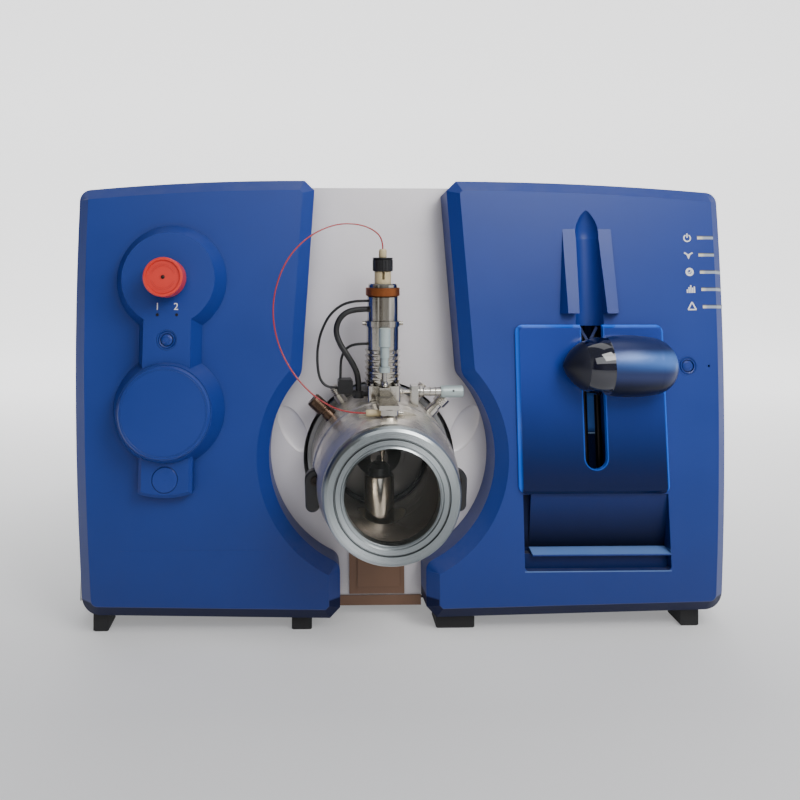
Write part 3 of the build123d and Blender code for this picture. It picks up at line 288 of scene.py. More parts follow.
def useGroup(tree, name, **values):
    made = tree.nodes.new("ShaderNodeGroup")
    made.node_tree = groups[name]
    for label, value in values.items():
        if isinstance(value, bpy.types.NodeSocket):
            tree.links.new(value, made.inputs[label])
        else:
            made.inputs[label].default_value = value
    return made


def blendColours(tree, factor, first, second, mode="MIX"):
    made = node(tree, "ShaderNodeMix", data_type="RGBA", blend_type=mode)
    for index, value in ((0, factor), (6, first), (7, second)):
        if isinstance(value, bpy.types.NodeSocket):
            tree.links.new(value, made.inputs[index])
        else:
            made.inputs[index].default_value = value
    return made.outputs[2]


def ramp(tree, value, low, high, first=0.0, last=1.0, smooth=False):
    made = node(tree, "ShaderNodeMapRange", {0: value, 1: low, 2: high, 3: first, 4: last})
    if smooth:
        made.interpolation_type = "SMOOTHSTEP"
    return made.outputs[0]


# Principled material with grain or tool marks, dust on top and painted shade in crevices
def surface(name, colour, rough=0.4, metallic=0.0, grain=(700.0, 0.05), stretch=(1.0, 1.0, 1.0), turned=None,
            dust=0.0, crevice=0.0, reach=0.012, creviceShadeTone=(0.004, 0.004, 0.005, 1.0), spread=0.08,
            roughSpread=0.08, coat=0.0, coatRough=0.1, specular=0.5, anisotropic=0.0, extra=None,
            dustTone=tone(176, 170, 160)):
    material = bpy.data.materials.new(name)
    material.use_nodes = True
    tree = material.node_tree
    shader = tree.nodes["Principled BSDF"]
    shader.inputs["Metallic"].default_value = metallic
    shader.inputs["Coat Weight"].default_value = coat
    shader.inputs["Coat Roughness"].default_value = coatRough
    shader.inputs["Specular IOR Level"].default_value = specular
    shader.inputs["Anisotropic"].default_value = anisotropic
    texture = useGroup(tree, "grain", Scale=grain[0], Strength=grain[1], Stretch=stretch)
    normal = texture.outputs["Normal"]
    patches = texture.outputs["Patches"]
    low = tuple(c * (1 - spread) for c in colour[:3]) + (1.0,)
    high = tuple(min(c * (1 + spread), 1.0) for c in colour[:3]) + (1.0,)
    shade = blendColours(tree, ramp(tree, patches, 0.3, 0.7), low, high)
    roughness = ramp(tree, patches, 0.3, 0.7, rough - roughSpread / 2, rough + roughSpread / 2)
    if turned:
        marks = useGroup(tree, "turned", Point=turned["point"], Keep=turned["keep"],
                         Scale=turned.get("scale", 2600.0), Strength=turned.get("strength", 0.12))
        normal = marks.outputs["Normal"]
        streaks = ramp(tree, marks.outputs["Marks"], 0.3, 0.7, -roughSpread / 2, roughSpread / 2)
        roughness = maths(tree, "ADD", roughness, streaks, clamp=True)
        shade = blendColours(tree, ramp(tree, marks.outputs["Marks"], 0.35, 0.65, 0.0, 0.12), shade,
                             tuple(c * 0.6 for c in colour[:3]) + (1.0,))
    if extra:
        shade, roughness = extra(tree, shader, shade, roughness)
    # Painted shade: the colour darkens in inner corners and narrow places, found by occlusion
    if crevice:
        creviceShade = useGroup(tree, "crevices", Reach=reach)
        amount = maths(tree, "MULTIPLY", creviceShade.outputs["Mask"], crevice)
        shade = blendColours(tree, amount, shade, creviceShadeTone)
    if dust:
        settled = useGroup(tree, "dust", Amount=dust)
        shade = blendColours(tree, settled.outputs["Mask"], shade, dustTone)
        roughness = maths(tree, "ADD", roughness, maths(tree, "MULTIPLY", settled.outputs["Mask"], 0.4),
                          clamp=True)
    tree.links.new(shade, shader.inputs["Base Color"])
    tree.links.new(roughness, shader.inputs["Roughness"])
    tree.links.new(normal, shader.inputs["Normal"])
    return material


onSourceAxis = {"point": (sourceX * mm, 0.0, sourceZ * mm), "keep": (1.0, 0.0, 1.0)}
onTowerAxis = {"point": (sourceX * mm, towerY * mm, 0.0), "keep": (1.0, 1.0, 0.0)}
onSideAxis = {"point": (0.0, towerY * mm, sideZ * mm), "keep": (0.0, 1.0, 1.0)}


# Recess under the syringe plate: across and up the front, in metres
recessSet = {"left": 0.1395, "column": 0.1493, "right": 0.3135, "top": -0.1221, "back": -0.1874,
             "shelf": -0.1919, "pocket": -0.1934, "foot": -0.2105}
bandTop = -0.2415
# Painted shade towards the bottom, in the recess, the pocket and the lower band; painted highlights on the
# shelf and the lip
coverShadeAndHighlight = {"lower": tone(13, 32, 88), "recess": tone(5, 7, 16), "shelf": tone(104, 146, 214),
              "pocket": tone(14, 22, 56), "lip": tone(110, 145, 200), "band": tone(16, 17, 36)}
plateSet = {"middle": 0.2245, "half": 0.090, "top": 0.0769, "slotMiddle": 0.2265, "slotHalf": 0.0135,
            "slotEnd": -0.0799}
# Painted shade at the plate's foot and painted light at its edges
plateShadeAndGlow = {"foot": tone(10, 17, 42), "edge": tone(26, 96, 214)}


def between(tree, value, low, high, soft=0.0003):
    return maths(tree, "MULTIPLY", ramp(tree, value, low - soft, low + soft),
                 ramp(tree, value, high + soft, high - soft))


def allOf(tree, *masks):
    made = masks[0]
    for mask in masks[1:]:
        made = maths(tree, "MULTIPLY", made, mask)
    return made


# Deep blue with painted shade: darker towards the bottom, navy in the recess under the syringe plate and
# along the lower edge, and painted highlights on the shelf and the lip of the recess
def coverShade(tree, shader, shade, roughness):
    at = useGroup(tree, "front")
    across, up, out = (at.outputs[label] for label in ("Across", "Up", "Out"))
    # Painted shade: darker towards the bottom of the front
    shade = blendColours(tree, ramp(tree, up, -0.05, -0.26, 0.0, 0.5), shade, coverShadeAndHighlight["lower"])
    recess = recessSet
    inside = between(tree, across, recess["left"], recess["right"])
    behind = ramp(tree, out, -0.0003, -0.0012)
    # Painted shade on the sloping back of the recess, deeper towards its foot, and on the column at its left
    recessSlopeShade = allOf(tree, inside, behind, between(tree, up, recess["back"], recess["top"]),
                  ramp(tree, up, recess["top"], recess["back"], 0.45, 0.99))
    column = allOf(tree, behind, between(tree, across, recess["left"], recess["column"]),
                   between(tree, up, recess["pocket"], recess["top"]))
    recessShade = maths(tree, "MAXIMUM", recessSlopeShade, maths(tree, "MULTIPLY", column, 0.8))
    shade = blendColours(tree, recessShade, shade, coverShadeAndHighlight["recess"])
    # Painted highlight on the shelf, as if lit from above
    shelf = allOf(tree, between(tree, across, recess["column"], recess["right"]),
                  between(tree, up, recess["shelf"], recess["back"]))
    shade = blendColours(tree, maths(tree, "MULTIPLY", shelf, 0.8), shade, coverShadeAndHighlight["shelf"])
    # Painted shade in the pocket below the shelf
    pocket = allOf(tree, inside, behind, between(tree, up, recess["foot"], recess["pocket"]))
    shade = blendColours(tree, maths(tree, "MULTIPLY", pocket, 0.65), shade, coverShadeAndHighlight["pocket"])
    # Painted highlight along the pocket's lower lip
    lip = allOf(tree, inside, between(tree, up, recess["foot"] - 0.0012, recess["foot"]),
                ramp(tree, out, -0.0008, -0.0002))
    shade = blendColours(tree, maths(tree, "MULTIPLY", lip, 0.6), shade, coverShadeAndHighlight["lip"])
    # Painted shade on the lower bevel of the covers
    low = maths(tree, "MULTIPLY", ramp(tree, out, -0.0004, -0.0012),
                ramp(tree, up, bandTop + 0.001, bandTop - 0.001))
    shade = blendColours(tree, maths(tree, "MULTIPLY", low, 0.85), shade, coverShadeAndHighlight["band"])
    dull = maths(tree, "MAXIMUM", maths(tree, "MAXIMUM", recessShade, low), maths(tree, "MULTIPLY", pocket, 0.7))
    tree.links.new(ramp(tree, dull, 0.0, 1.0, 0.38, 0.08), shader.inputs["Specular IOR Level"])
    return shade, roughness


# Clear tinted plate: painted shade darkens it towards its foot, and its edges glow with painted light
def plateShade(tree, shader, shade, roughness):
    at = useGroup(tree, "front")
    plate = plateSet
    up = at.outputs["Up"]
    across = maths(tree, "ABSOLUTE", maths(tree, "SUBTRACT", at.outputs["Across"], plate["middle"]))
    side = ramp(tree, across, plate["half"] - 0.0048, plate["half"] - 0.0012, smooth=True)
    top = ramp(tree, up, plate["top"] - 0.0046, plate["top"] - 0.001, smooth=True)
    edge = maths(tree, "MAXIMUM", side, top)
    aside = maths(tree, "ABSOLUTE", maths(tree, "SUBTRACT", at.outputs["Across"], plate["slotMiddle"]))
    beyond = maths(tree, "MAXIMUM", maths(tree, "SUBTRACT", plate["slotEnd"], up), 0.0)
    away = maths(tree, "SQRT", maths(tree, "ADD", maths(tree, "MULTIPLY", aside, aside),
                                     maths(tree, "MULTIPLY", beyond, beyond)))
    slotEdgeGlow = ramp(tree, away, plate["slotHalf"] + 0.0020, plate["slotHalf"] + 0.0004, smooth=True)
    edge = maths(tree, "MAXIMUM", edge, maths(tree, "MULTIPLY", slotEdgeGlow, 0.55))
    # Painted shade: darker towards the foot
    foot = ramp(tree, up, 0.045, -0.12, 0.0, 0.9, smooth=True)
    shade = blendColours(tree, foot, shade, plateShadeAndGlow["foot"])
    shade = blendColours(tree, edge, shade, plateShadeAndGlow["edge"])
    # Painted light: the side, top and slot edges glow
    tree.links.new(shade, shader.inputs["Emission Color"])
    tree.links.new(maths(tree, "MULTIPLY", edge, 0.35), shader.inputs["Emission Strength"])
    tree.links.new(ramp(tree, foot, 0.0, 0.9, 0.5, 0.15), shader.inputs["Specular IOR Level"])
    return shade, roughness


handleHighlightAndShade = {"bandFoot": (0.020, 0.034), "bandTop": (0.050, 0.038), "rising": (0.235, 0.312),
             "under": (0.018, 0.004), "light": tone(74, 124, 204), "dark": tone(7, 9, 22)}


# Painted highlight: a soft light band along the upper half of the grip, brighter to the right, over a painted
# shade on the underside
def handleShade(tree, shader, shade, roughness):
    at = useGroup(tree, "front")
    band = maths(tree, "MULTIPLY", ramp(tree, at.outputs["Up"], *handleHighlightAndShade["bandFoot"], smooth=True),
                 ramp(tree, at.outputs["Up"], *handleHighlightAndShade["bandTop"], smooth=True))
    rising = ramp(tree, at.outputs["Across"], *handleHighlightAndShade["rising"], 0.35, 1.0)
    shade = blendColours(tree, maths(tree, "MULTIPLY", band, rising), shade, handleHighlightAndShade["light"])
    # Painted shade on the underside of the grip
    under = ramp(tree, at.outputs["Up"], *handleHighlightAndShade["under"], 0.0, 0.85, smooth=True)
    shade = blendColours(tree, under, shade, handleHighlightAndShade["dark"])
    tree.links.new(ramp(tree, under, 0.0, 0.85, 0.5, 0.15), shader.inputs["Specular IOR Level"])
    return shade, roughness


slotPaintedReflection = {"patch": (-0.0553, -0.0100), "line": (-0.0592, -0.0580), "bluer": (0.218, 0.236),
           "pale": tone(150, 176, 205), "blue": tone(58, 92, 160), "lineTone": tone(150, 180, 215),
           "glow": 0.25}


# Glossy back of the syringe slot with a painted reflection: a light patch in its middle that glows, dark
# above and below
def slotShade(tree, shader, shade, roughness):
    at = useGroup(tree, "front")
    patch = between(tree, at.outputs["Up"], *slotPaintedReflection["patch"], 0.004)
    bluer = ramp(tree, at.outputs["Across"], *slotPaintedReflection["bluer"])
    light = blendColours(tree, bluer, slotPaintedReflection["pale"], slotPaintedReflection["blue"])
    shade = blendColours(tree, patch, shade, light)
    # Painted highlight line across the slot
    line = between(tree, at.outputs["Up"], *slotPaintedReflection["line"], 0.0002)
    shade = blendColours(tree, maths(tree, "MULTIPLY", line, 0.8), shade, slotPaintedReflection["lineTone"])
    tree.links.new(shade, shader.inputs["Emission Color"])
    shader.inputs["Emission Strength"].default_value = slotPaintedReflection["glow"]
    return shade, roughness


unionSet = {"seam": 9.0, "soft": 0.2, "nutTone": tone(196, 180, 142)}


# Steel union with a cream nut on its left
def unionShade(tree, shader, shade, roughness):
    at = useGroup(tree, "front")
    seam, soft = sourceX - unionSet["seam"], unionSet["soft"]
    nut = ramp(tree, at.outputs["Across"], (seam + soft) * mm, (seam - soft) * mm)
    shade = blendColours(tree, nut, shade, unionSet["nutTone"])
    tree.links.new(maths(tree, "SUBTRACT", 1.0, nut), shader.inputs["Metallic"])
    roughness = maths(tree, "ADD", roughness, maths(tree, "MULTIPLY", nut, 0.2), clamp=True)
    return shade, roughness


# Offset from the axis of the source, square to it
def fromSourceAxis(tree):
    place = node(tree, "ShaderNodeTexCoord").outputs["Object"]
    moved = node(tree, "ShaderNodeVectorMath", {0: place, 1: onSourceAxis["point"]}, operation="SUBTRACT")
    return node(tree, "ShaderNodeVectorMath", {0: moved.outputs[0], 1: onSourceAxis["keep"]},
                operation="MULTIPLY").outputs[0]


ringPaintedGlint = {"glint": (0.64, 0.0, 0.77), "sharpness": 6.0, "dull": 0.85, "dullTone": tone(122, 129, 131)}


# Turned face: its highlights run out from the axis of the source, and a painted highlight keeps it bright
# along one diagonal, duller elsewhere
def ringShade(tree, shader, shade, roughness):
    flat = fromSourceAxis(tree)
    radial = node(tree, "ShaderNodeVectorMath", {0: flat}, operation="NORMALIZE")
    tree.links.new(radial.outputs[0], shader.inputs["Tangent"])
    along = node(tree, "ShaderNodeVectorMath", {0: radial.outputs[0], 1: ringPaintedGlint["glint"]},
                 operation="DOT_PRODUCT")
    facing = maths(tree, "POWER", maths(tree, "ABSOLUTE", along.outputs["Value"]), ringPaintedGlint["sharpness"])
    dull = blendColours(tree, ringPaintedGlint["dull"], shade, ringPaintedGlint["dullTone"])
    shade = blendColours(tree, facing, dull, shade)
    return shade, roughness


chamberSet = {"edge": (0.0618, 0.0612), "tone": tone(178, 168, 157), "smoother": 0.06}


# Polished outside, satin grey inside the chamber
def housingShade(tree, shader, shade, roughness):
    flat = fromSourceAxis(tree)
    away = node(tree, "ShaderNodeVectorMath", {0: flat}, operation="LENGTH").outputs["Value"]
    inside = ramp(tree, away, *chamberSet["edge"])
    shade = blendColours(tree, inside, shade, chamberSet["tone"])
    roughness = maths(tree, "SUBTRACT", roughness, maths(tree, "MULTIPLY", inside, chamberSet["smoother"]),
                      clamp=True)
    return shade, roughness


barSet = {"top": alongUp(468.0) * mm + 0.00225, "pitch": 0.0211 / math.cos(lean), "greyFrom": 0.369,
          "greyTo": 0.373, "gap": (0.065, 0.045), "grey": tone(150, 160, 176), "gapShadowTone": tone(28, 34, 52),
          "off": tone(12, 14, 20), "glow": 0.10}


# Frosted bars of the right cover, with a painted shadow line along the top of each; the two round lights of
# the left one are dark
def lightShade(tree, shader, shade, roughness):
    at = useGroup(tree, "front")
    left = ramp(tree, at.outputs["Across"], 0.01, -0.01)
    greyer = ramp(tree, at.outputs["Across"], barSet["greyFrom"], barSet["greyTo"])
    shade = blendColours(tree, greyer, shade, barSet["grey"])
    below = maths(tree, "SUBTRACT", barSet["top"], at.outputs["Up"])
    row = maths(tree, "FRACT", maths(tree, "DIVIDE", below, barSet["pitch"]))
    # Painted shadow line along the top of each bar
    gap = maths(tree, "MULTIPLY", ramp(tree, row, *barSet["gap"]), 0.85)
    shade = blendColours(tree, gap, shade, barSet["gapShadowTone"])
    shade = blendColours(tree, left, shade, barSet["off"])
    tree.links.new(shade, shader.inputs["Emission Color"])
    lit = maths(tree, "SUBTRACT", 1.0, left)
    tree.links.new(maths(tree, "MULTIPLY", lit, barSet["glow"]), shader.inputs["Emission Strength"])
    return shade, roughness


def clearGlass(name, tint, alpha, rough=0.02):
    material = bpy.data.materials.new(name)
    material.use_nodes = True
    tree = material.node_tree
    shader = tree.nodes["Principled BSDF"]
    shader.inputs["Base Color"].default_value = tint
    shader.inputs["Roughness"].default_value = rough
    shader.inputs["IOR"].default_value = 1.5
    texture = useGroup(tree, "grain", Scale=60.0, Strength=0.01)
    mask = ramp(tree, texture.outputs["Patches"], 0.35, 0.65, alpha * 0.9, alpha * 1.1)
    tree.links.new(mask, shader.inputs["Alpha"])
    return material


# Colour of the painted shade in the crevices of metal parts
metalCreviceShade = tone(24, 22, 20)
materials = {
    "coverBlue": surface("coverBlue", tone(25, 54, 134), rough=0.42, specular=0.38, grain=(1500.0, 0.10),
                         spread=0.05, crevice=0.35, reach=0.01, dust=0.10, creviceShadeTone=tone(10, 16, 36),
                         extra=coverShade),
    "podBlue": surface("podBlue", tone(25, 54, 134), rough=0.38, specular=0.42, grain=(1500.0, 0.10),
                       spread=0.05, crevice=0.5, reach=0.004, dust=0.08, creviceShadeTone=tone(10, 16, 36)),
    "fasciaGrey": surface("fasciaGrey", tone(220, 216, 220), rough=0.38, metallic=0.12, grain=(1800.0, 0.08),
                          spread=0.04, crevice=0.35, reach=0.03, dust=0.08),
    "cabinetPaint": surface("cabinetPaint", tone(182, 184, 187), rough=0.5, grain=(1100.0, 0.22), spread=0.03,
                            crevice=0.3, reach=0.01, dust=0.30),
    "framePaint": surface("framePaint", tone(38, 39, 42), rough=0.55, grain=(1100.0, 0.2), crevice=0.4),
    "footRubber": surface("footRubber", tone(26, 26, 28), rough=0.75, grain=(900.0, 0.25), dust=0.3),
    "castAlloy": surface("castAlloy", tone(150, 151, 153), rough=0.5, metallic=0.9, grain=(600.0, 0.35),
                         crevice=0.5, dust=0.2),
    "platePlain": surface("platePlain", tone(112, 86, 70), rough=0.34, metallic=0.55,
                          grain=(320.0, 0.10), stretch=(1.0, 12.0, 12.0), spread=0.12, crevice=0.5,
                          reach=0.01),
    "flangeMetal": surface("flangeMetal", tone(165, 166, 168), rough=0.32, metallic=1.0, turned=onSourceAxis,
                           crevice=0.6),
    "ringMetal": surface("ringMetal", tone(206, 213, 215), rough=0.30, metallic=1.0, turned=onSourceAxis,
                         anisotropic=0.75, crevice=0.7, reach=0.005, spread=0.05, creviceShadeTone=metalCreviceShade,
                         extra=ringShade),
    "housingSteel": surface("housingSteel", tone(222, 216, 204), rough=0.30, metallic=0.8, turned=dict(
        onSourceAxis, strength=0.05), crevice=0.5, reach=0.008, creviceShadeTone=metalCreviceShade, extra=housingShade),
    "towerSteel": surface("towerSteel", tone(204, 199, 189), rough=0.14, metallic=1.0, turned=dict(
        onTowerAxis, strength=0.08), crevice=0.75, reach=0.004, creviceShadeTone=metalCreviceShade),
    "sideSteel": surface("sideSteel", tone(198, 195, 188), rough=0.18, metallic=1.0, turned=dict(
        onSideAxis, strength=0.08), crevice=0.6, reach=0.004, creviceShadeTone=metalCreviceShade),
    "plainSteel": surface("plainSteel", tone(196, 192, 184), rough=0.2, metallic=1.0, crevice=0.6,
                          reach=0.004, creviceShadeTone=metalCreviceShade),
    "darkMetal": surface("darkMetal", tone(52, 47, 44), rough=0.38, metallic=0.85, crevice=0.5, reach=0.004,
                         spread=0.2),
    "portBrown": surface("portBrown", tone(92, 74, 62), rough=0.3, metallic=1.0, crevice=0.7, reach=0.003,
                         spread=0.2),
    "bronze": surface("bronze", tone(150, 86, 46), rough=0.34, metallic=0.75, turned=onTowerAxis, crevice=0.3,
                      reach=0.003, spread=0.12),
    "blackPlastic": surface("blackPlastic", tone(22, 22, 25), rough=0.38, grain=(900.0, 0.12), crevice=0.4,
                            reach=0.003),
    "cream": surface("cream", tone(196, 180, 142), rough=0.42, crevice=0.5, reach=0.003,
                     creviceShadeTone=tone(60, 44, 26)),
    "thimbleGrey": surface("thimbleGrey", tone(168, 182, 182), rough=0.36, metallic=0.25, grain=(900.0, 0.12),
                           crevice=0.5, reach=0.003),
    "capRed": surface("capRed", tone(214, 52, 42), rough=0.34, grain=(900.0, 0.1), spread=0.05, crevice=0.5,
                      reach=0.006, creviceShadeTone=tone(90, 12, 8)),
    "plateBlue": surface("plateBlue", tone(28, 58, 146), rough=0.22, coat=0.08, coatRough=0.06, spread=0.04,
                         roughSpread=0.04, grain=(60.0, 0.01), extra=plateShade),
    "handleNose": surface("handleNose", tone(15, 18, 34), rough=0.36, grain=(1500.0, 0.1)),
    "handleBand": surface("handleBand", tone(10, 13, 30), rough=0.05, coat=0.8, coatRough=0.03,
                          roughSpread=0.02, grain=(80.0, 0.01)),
    "handleGrip": surface("handleGrip", tone(22, 38, 88), rough=0.36, metallic=0.25, coat=0.12,
                          coatRough=0.25, grain=(1800.0, 0.05), spread=0.05, extra=handleShade),
    "lightPipe": surface("lightPipe", tone(208, 205, 186), rough=0.3, spread=0.1, crevice=0.6, reach=0.002,
                         creviceShadeTone=tone(40, 42, 50), extra=lightShade),
    "redTubing": surface("redTubing", tone(160, 44, 48), rough=0.25, coat=0.3, spread=0.05),
    "cableBlack": surface("cableBlack", tone(24, 24, 26), rough=0.42, grain=(900.0, 0.08)),
    "slotPanel": surface("slotPanel", tone(16, 24, 52), rough=0.12, coat=0.6, coatRough=0.05, spread=0.04,
                         grain=(60.0, 0.01), extra=slotShade),
    "unionSteel": surface("unionSteel", tone(204, 199, 189), rough=0.2, crevice=0.6, reach=0.003,
                          creviceShadeTone=metalCreviceShade, extra=unionShade),
    "glass": clearGlass("glass", tone(120, 124, 122), 0.035),
    "symbolWhite": surface("symbolWhite", tone(226, 228, 230), rough=0.5, spread=0.02),
}
finishOf = {
    "coverBlue": ["front_left_cover", "front_right_cover"],
    "podBlue": ["round_cover", "blank_plug", "valve_button", "pump_button"],
    "fasciaGrey": ["centre_fascia"], "platePlain": ["drip_plate"],
    "cabinetPaint": ["side_panel_left", "side_panel_right", "top_cover", "rear_panel"],
    "framePaint": ["base_frame"], "footRubber": ["feet", "interface_seal"],
    "castAlloy": ["vacuum_manifold", "rear_ports"], "flangeMetal": ["interface_flange"],
    "ringMetal": ["window_ring"], "housingSteel": ["source_housing"],
    "towerSteel": ["tower_tube", "tower_base", "clamp_collar", "probe_body", "exhaust_tube"],
    "sideSteel": ["side_sleeve"], "plainSteel": ["spindles", "source_port_right", "valve_collar"],
    "darkMetal": ["guide_rods", "lead_screw"], "portBrown": ["source_port_left"],
    "bronze": ["retaining_ring"],
    "blackPlastic": ["fan_frame", "fan_rotor", "power_inlet", "power_switch", "source_latch_left",
                     "source_latch_right", "cable_block", "electrode_nut", "carriage_block", "exhaust_cap"],
    "cream": ["adjust_collar", "tube_nut"], "unionSteel": ["union_fitting"],
    "thimbleGrey": ["thimble_side", "thimble_front", "front_sleeve"], "capRed": ["valve_cap"],
    "plateBlue": ["syringe_panel"], "handleNose": ["handle_nose"], "handleBand": ["handle_band"],
    "handleGrip": ["handle_grip"], "lightPipe": ["indicator_lights"], "glass": ["window_glass"],
}
for finish, names in finishOf.items():
    for name in names:
        nodes[name].data.materials.clear()
        nodes[name].data.materials.append(materials[finish])
dressed = {name for names in finishOf.values() for name in names}
dressed |= {cord[0] for cord in cordRoutes.values()}
print("undressed nodes:", sorted(set(nodes) - dressed))
cords["redTube"].data.materials.append(materials["redTubing"])
for name in ("probeCable", "outerCable", "innerCable"):
    cords[name].data.materials.append(materials["cableBlack"])
print("stage: materials")


def finishPiece(name, mesh, place, body, material, smooth=True):
    mesh.transform(place)
    mesh.update()
    piece = bpy.data.objects.new(name, mesh)
    bpy.context.scene.collection.objects.link(piece)
    piece.data.materials.append(materials[material])
    if smooth:
        for face in mesh.polygons:
            face.use_smooth = True
        mesh.set_sharp_from_angle(angle=math.radians(35))
    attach(piece, body)
    return piece


# Turns (radius, height) points in millimetres about Z
def turnedMesh(name, profile, segments=48, closed=False):
    mesh = bpy.data.meshes.new(name)
    verts, faces = [], []
    count = len(profile)
    for step in range(segments):
        angle = 2 * math.pi * step / segments
        verts += [(r * mm * math.cos(angle), r * mm * math.sin(angle), z * mm) for r, z in profile]
    for step in range(segments):
        following = (step + 1) % segments
        for index in range(count if closed else count - 1):
            after = (index + 1) % count
            faces.append((step * count + index, following * count + index, following * count + after,
                          step * count + after))
    mesh.from_pydata(verts, [], faces)
    shape = bmesh.new()
    shape.from_mesh(mesh)
    bmesh.ops.remove_doubles(shape, verts=shape.verts, dist=1e-7)
    bmesh.ops.recalc_face_normals(shape, faces=shape.faces)
    shape.to_mesh(mesh)
    shape.free()
    return mesh


def turned(name, profile, place, body, material, slotName, segments=48, closed=False):
    return finishPiece(name, turnedMesh(name, profile, segments, closed), place, body, material)


def torusProfile(radius, thick, height=0.0, steps=10):
    return [(radius + thick * math.cos(2 * math.pi * k / steps),
             height + thick * math.sin(2 * math.pi * k / steps))
            for k in range(steps)]


def ringPiece(name, radius, thick, place, body, material, slotName, segments=64):
    return turned(name, torusProfile(radius, thick), place, body, material, slotName, segments, closed=True)


# Prisms from flat outlines in millimetres, from one height to another
def platesMesh(name, outlines, low, high):
    mesh = bpy.data.meshes.new(name)
    verts, faces = [], []
    for outline in outlines:
        first, count = len(verts), len(outline)
        for height in (low, high):
            verts += [(x * mm, y * mm, height * mm) for x, y in outline]
        faces.append(tuple(first + k for k in reversed(range(count))))
        faces.append(tuple(first + count + k for k in range(count)))
        for k in range(count):
            after = (k + 1) % count
            faces.append((first + k, first + after, first + count + after, first + count + k))
    mesh.from_pydata(verts, [], faces)
    return mesh


def plateOutline(halfWidth, low, high):
    return [(-halfWidth, low), (halfWidth, low), (halfWidth, high), (-halfWidth, high)]


def plates(name, outlines, low, high, place, body, material):
    return finishPiece(name, platesMesh(name, outlines, low, high), place, body, material,
                       smooth=False)


def arc(radius, start, stop, steps=24, x=0.0, y=0.0):
    angles = [math.radians(start + (stop - start) * k / steps) for k in range(steps + 1)]
    return [(x + radius * math.cos(angle), y + radius * math.sin(angle)) for angle in angles]


# Quads of a flat ring between two angles
def band(radius, width, start, stop, steps=24):
    quads = []
    for k in range(steps):
        one, two = (math.radians(start + (stop - start) * t / steps) for t in (k, k + 1))
        inner, outer = radius - width / 2, radius + width / 2
        corners = ((inner, one), (outer, one), (outer, two), (inner, two))
        quads.append([(r * math.cos(angle), r * math.sin(angle)) for r, angle in corners])
    return quads


# Outline of a straight bar between two points
def bar(x0, y0, x1, y1, width):
    length = math.hypot(x1 - x0, y1 - y0)
    dx, dy = -(y1 - y0) / length * width / 2, (x1 - x0) / length * width / 2
    return [(x0 + dx, y0 + dy), (x0 - dx, y0 - dy), (x1 - dx, y1 - dy), (x1 + dx, y1 + dy)]


# Round head with a socket
def screwHead(name, place, body, radius=3.0, height=2.0, material="plainSteel", slotName="polished_steel"):
    profile = [(0, -0.2), (radius, -0.2), (radius, height - 0.5), (radius - 0.5, height),
               (radius * 0.5, height), (radius * 0.5, height * 0.35), (0, height * 0.35)]
    return turned(name, profile, place, body, material, slotName, segments=24)


symbols = {"x": 351.5, "drift": 0.5, "size": 5.2, "thickness": 0.25, "topZ": 467.2, "pitch": 20.8}
# Outlines for a symbol that reaches 1 from its middle
symbolShapes = {
    "symbolPower": band(0.78, 0.3, 118, 422) + [bar(0, 0.1, 0, 1.1, 0.3)],
    "symbolFlow": [bar(-1, 0.55, -0.3, 0.15, 0.34), bar(1, 0.55, 0.3, 0.15, 0.34),
                   [(-0.55, 0.2), (0, -1), (0.55, 0.2)]],
    "symbolReady": band(0.72, 0.5, 0, 360) + [bar(-0.3, 0, 0, -0.3, 0.2), bar(0, -0.3, 0.4, 0.35, 0.2)],
    "symbolBars": [bar(step * 0.42, -0.9, step * 0.42, top, 0.3)
                   for step, top in ((-2, -0.1), (-1, 0.45), (0, 0.9), (1, 0.3), (2, 0.6))],
    "symbolFault": [bar(-1, -0.8, 1, -0.8, 0.3), bar(-0.95, -0.8, 0, 0.95, 0.3),
                    bar(0.95, -0.8, 0, 0.95, 0.3)],
}
for index, (name, outlines) in enumerate(symbolShapes.items()):
    place = frontMatrix(symbols["x"] + index * symbols["drift"], symbols["topZ"] - index * symbols["pitch"])
    full = [[(x * symbols["size"], y * symbols["size"]) for x, y in outline] for outline in outlines]
    plates(name, full, -0.05, symbols["thickness"], place, "cabinet", "symbolWhite")

numbers = {"height": 9.0, "out": 27.1, "thickness": 0.25, "x": (-291.7, -270.0), "z": 382.2}
for label, x in zip("12", numbers["x"]):
    text = bpy.data.curves.new("number" + label, "FONT")
    text.body = label
    text.size = numbers["height"] * mm * 1.3
    text.align_x = "CENTER"
    text.align_y = "CENTER"
    text.extrude = numbers["thickness"] * mm / 2
    holder = bpy.data.objects.new("number" + label, text)
    bpy.context.scene.collection.objects.link(holder)
    mesh = bpy.data.meshes.new_from_object(holder)
    bpy.data.objects.remove(holder)
    finishPiece("number" + label, mesh, frontMatrix(x, numbers["z"], numbers["out"]), "cabinet",
                "symbolWhite", smooth=False)
print("stage: symbols")

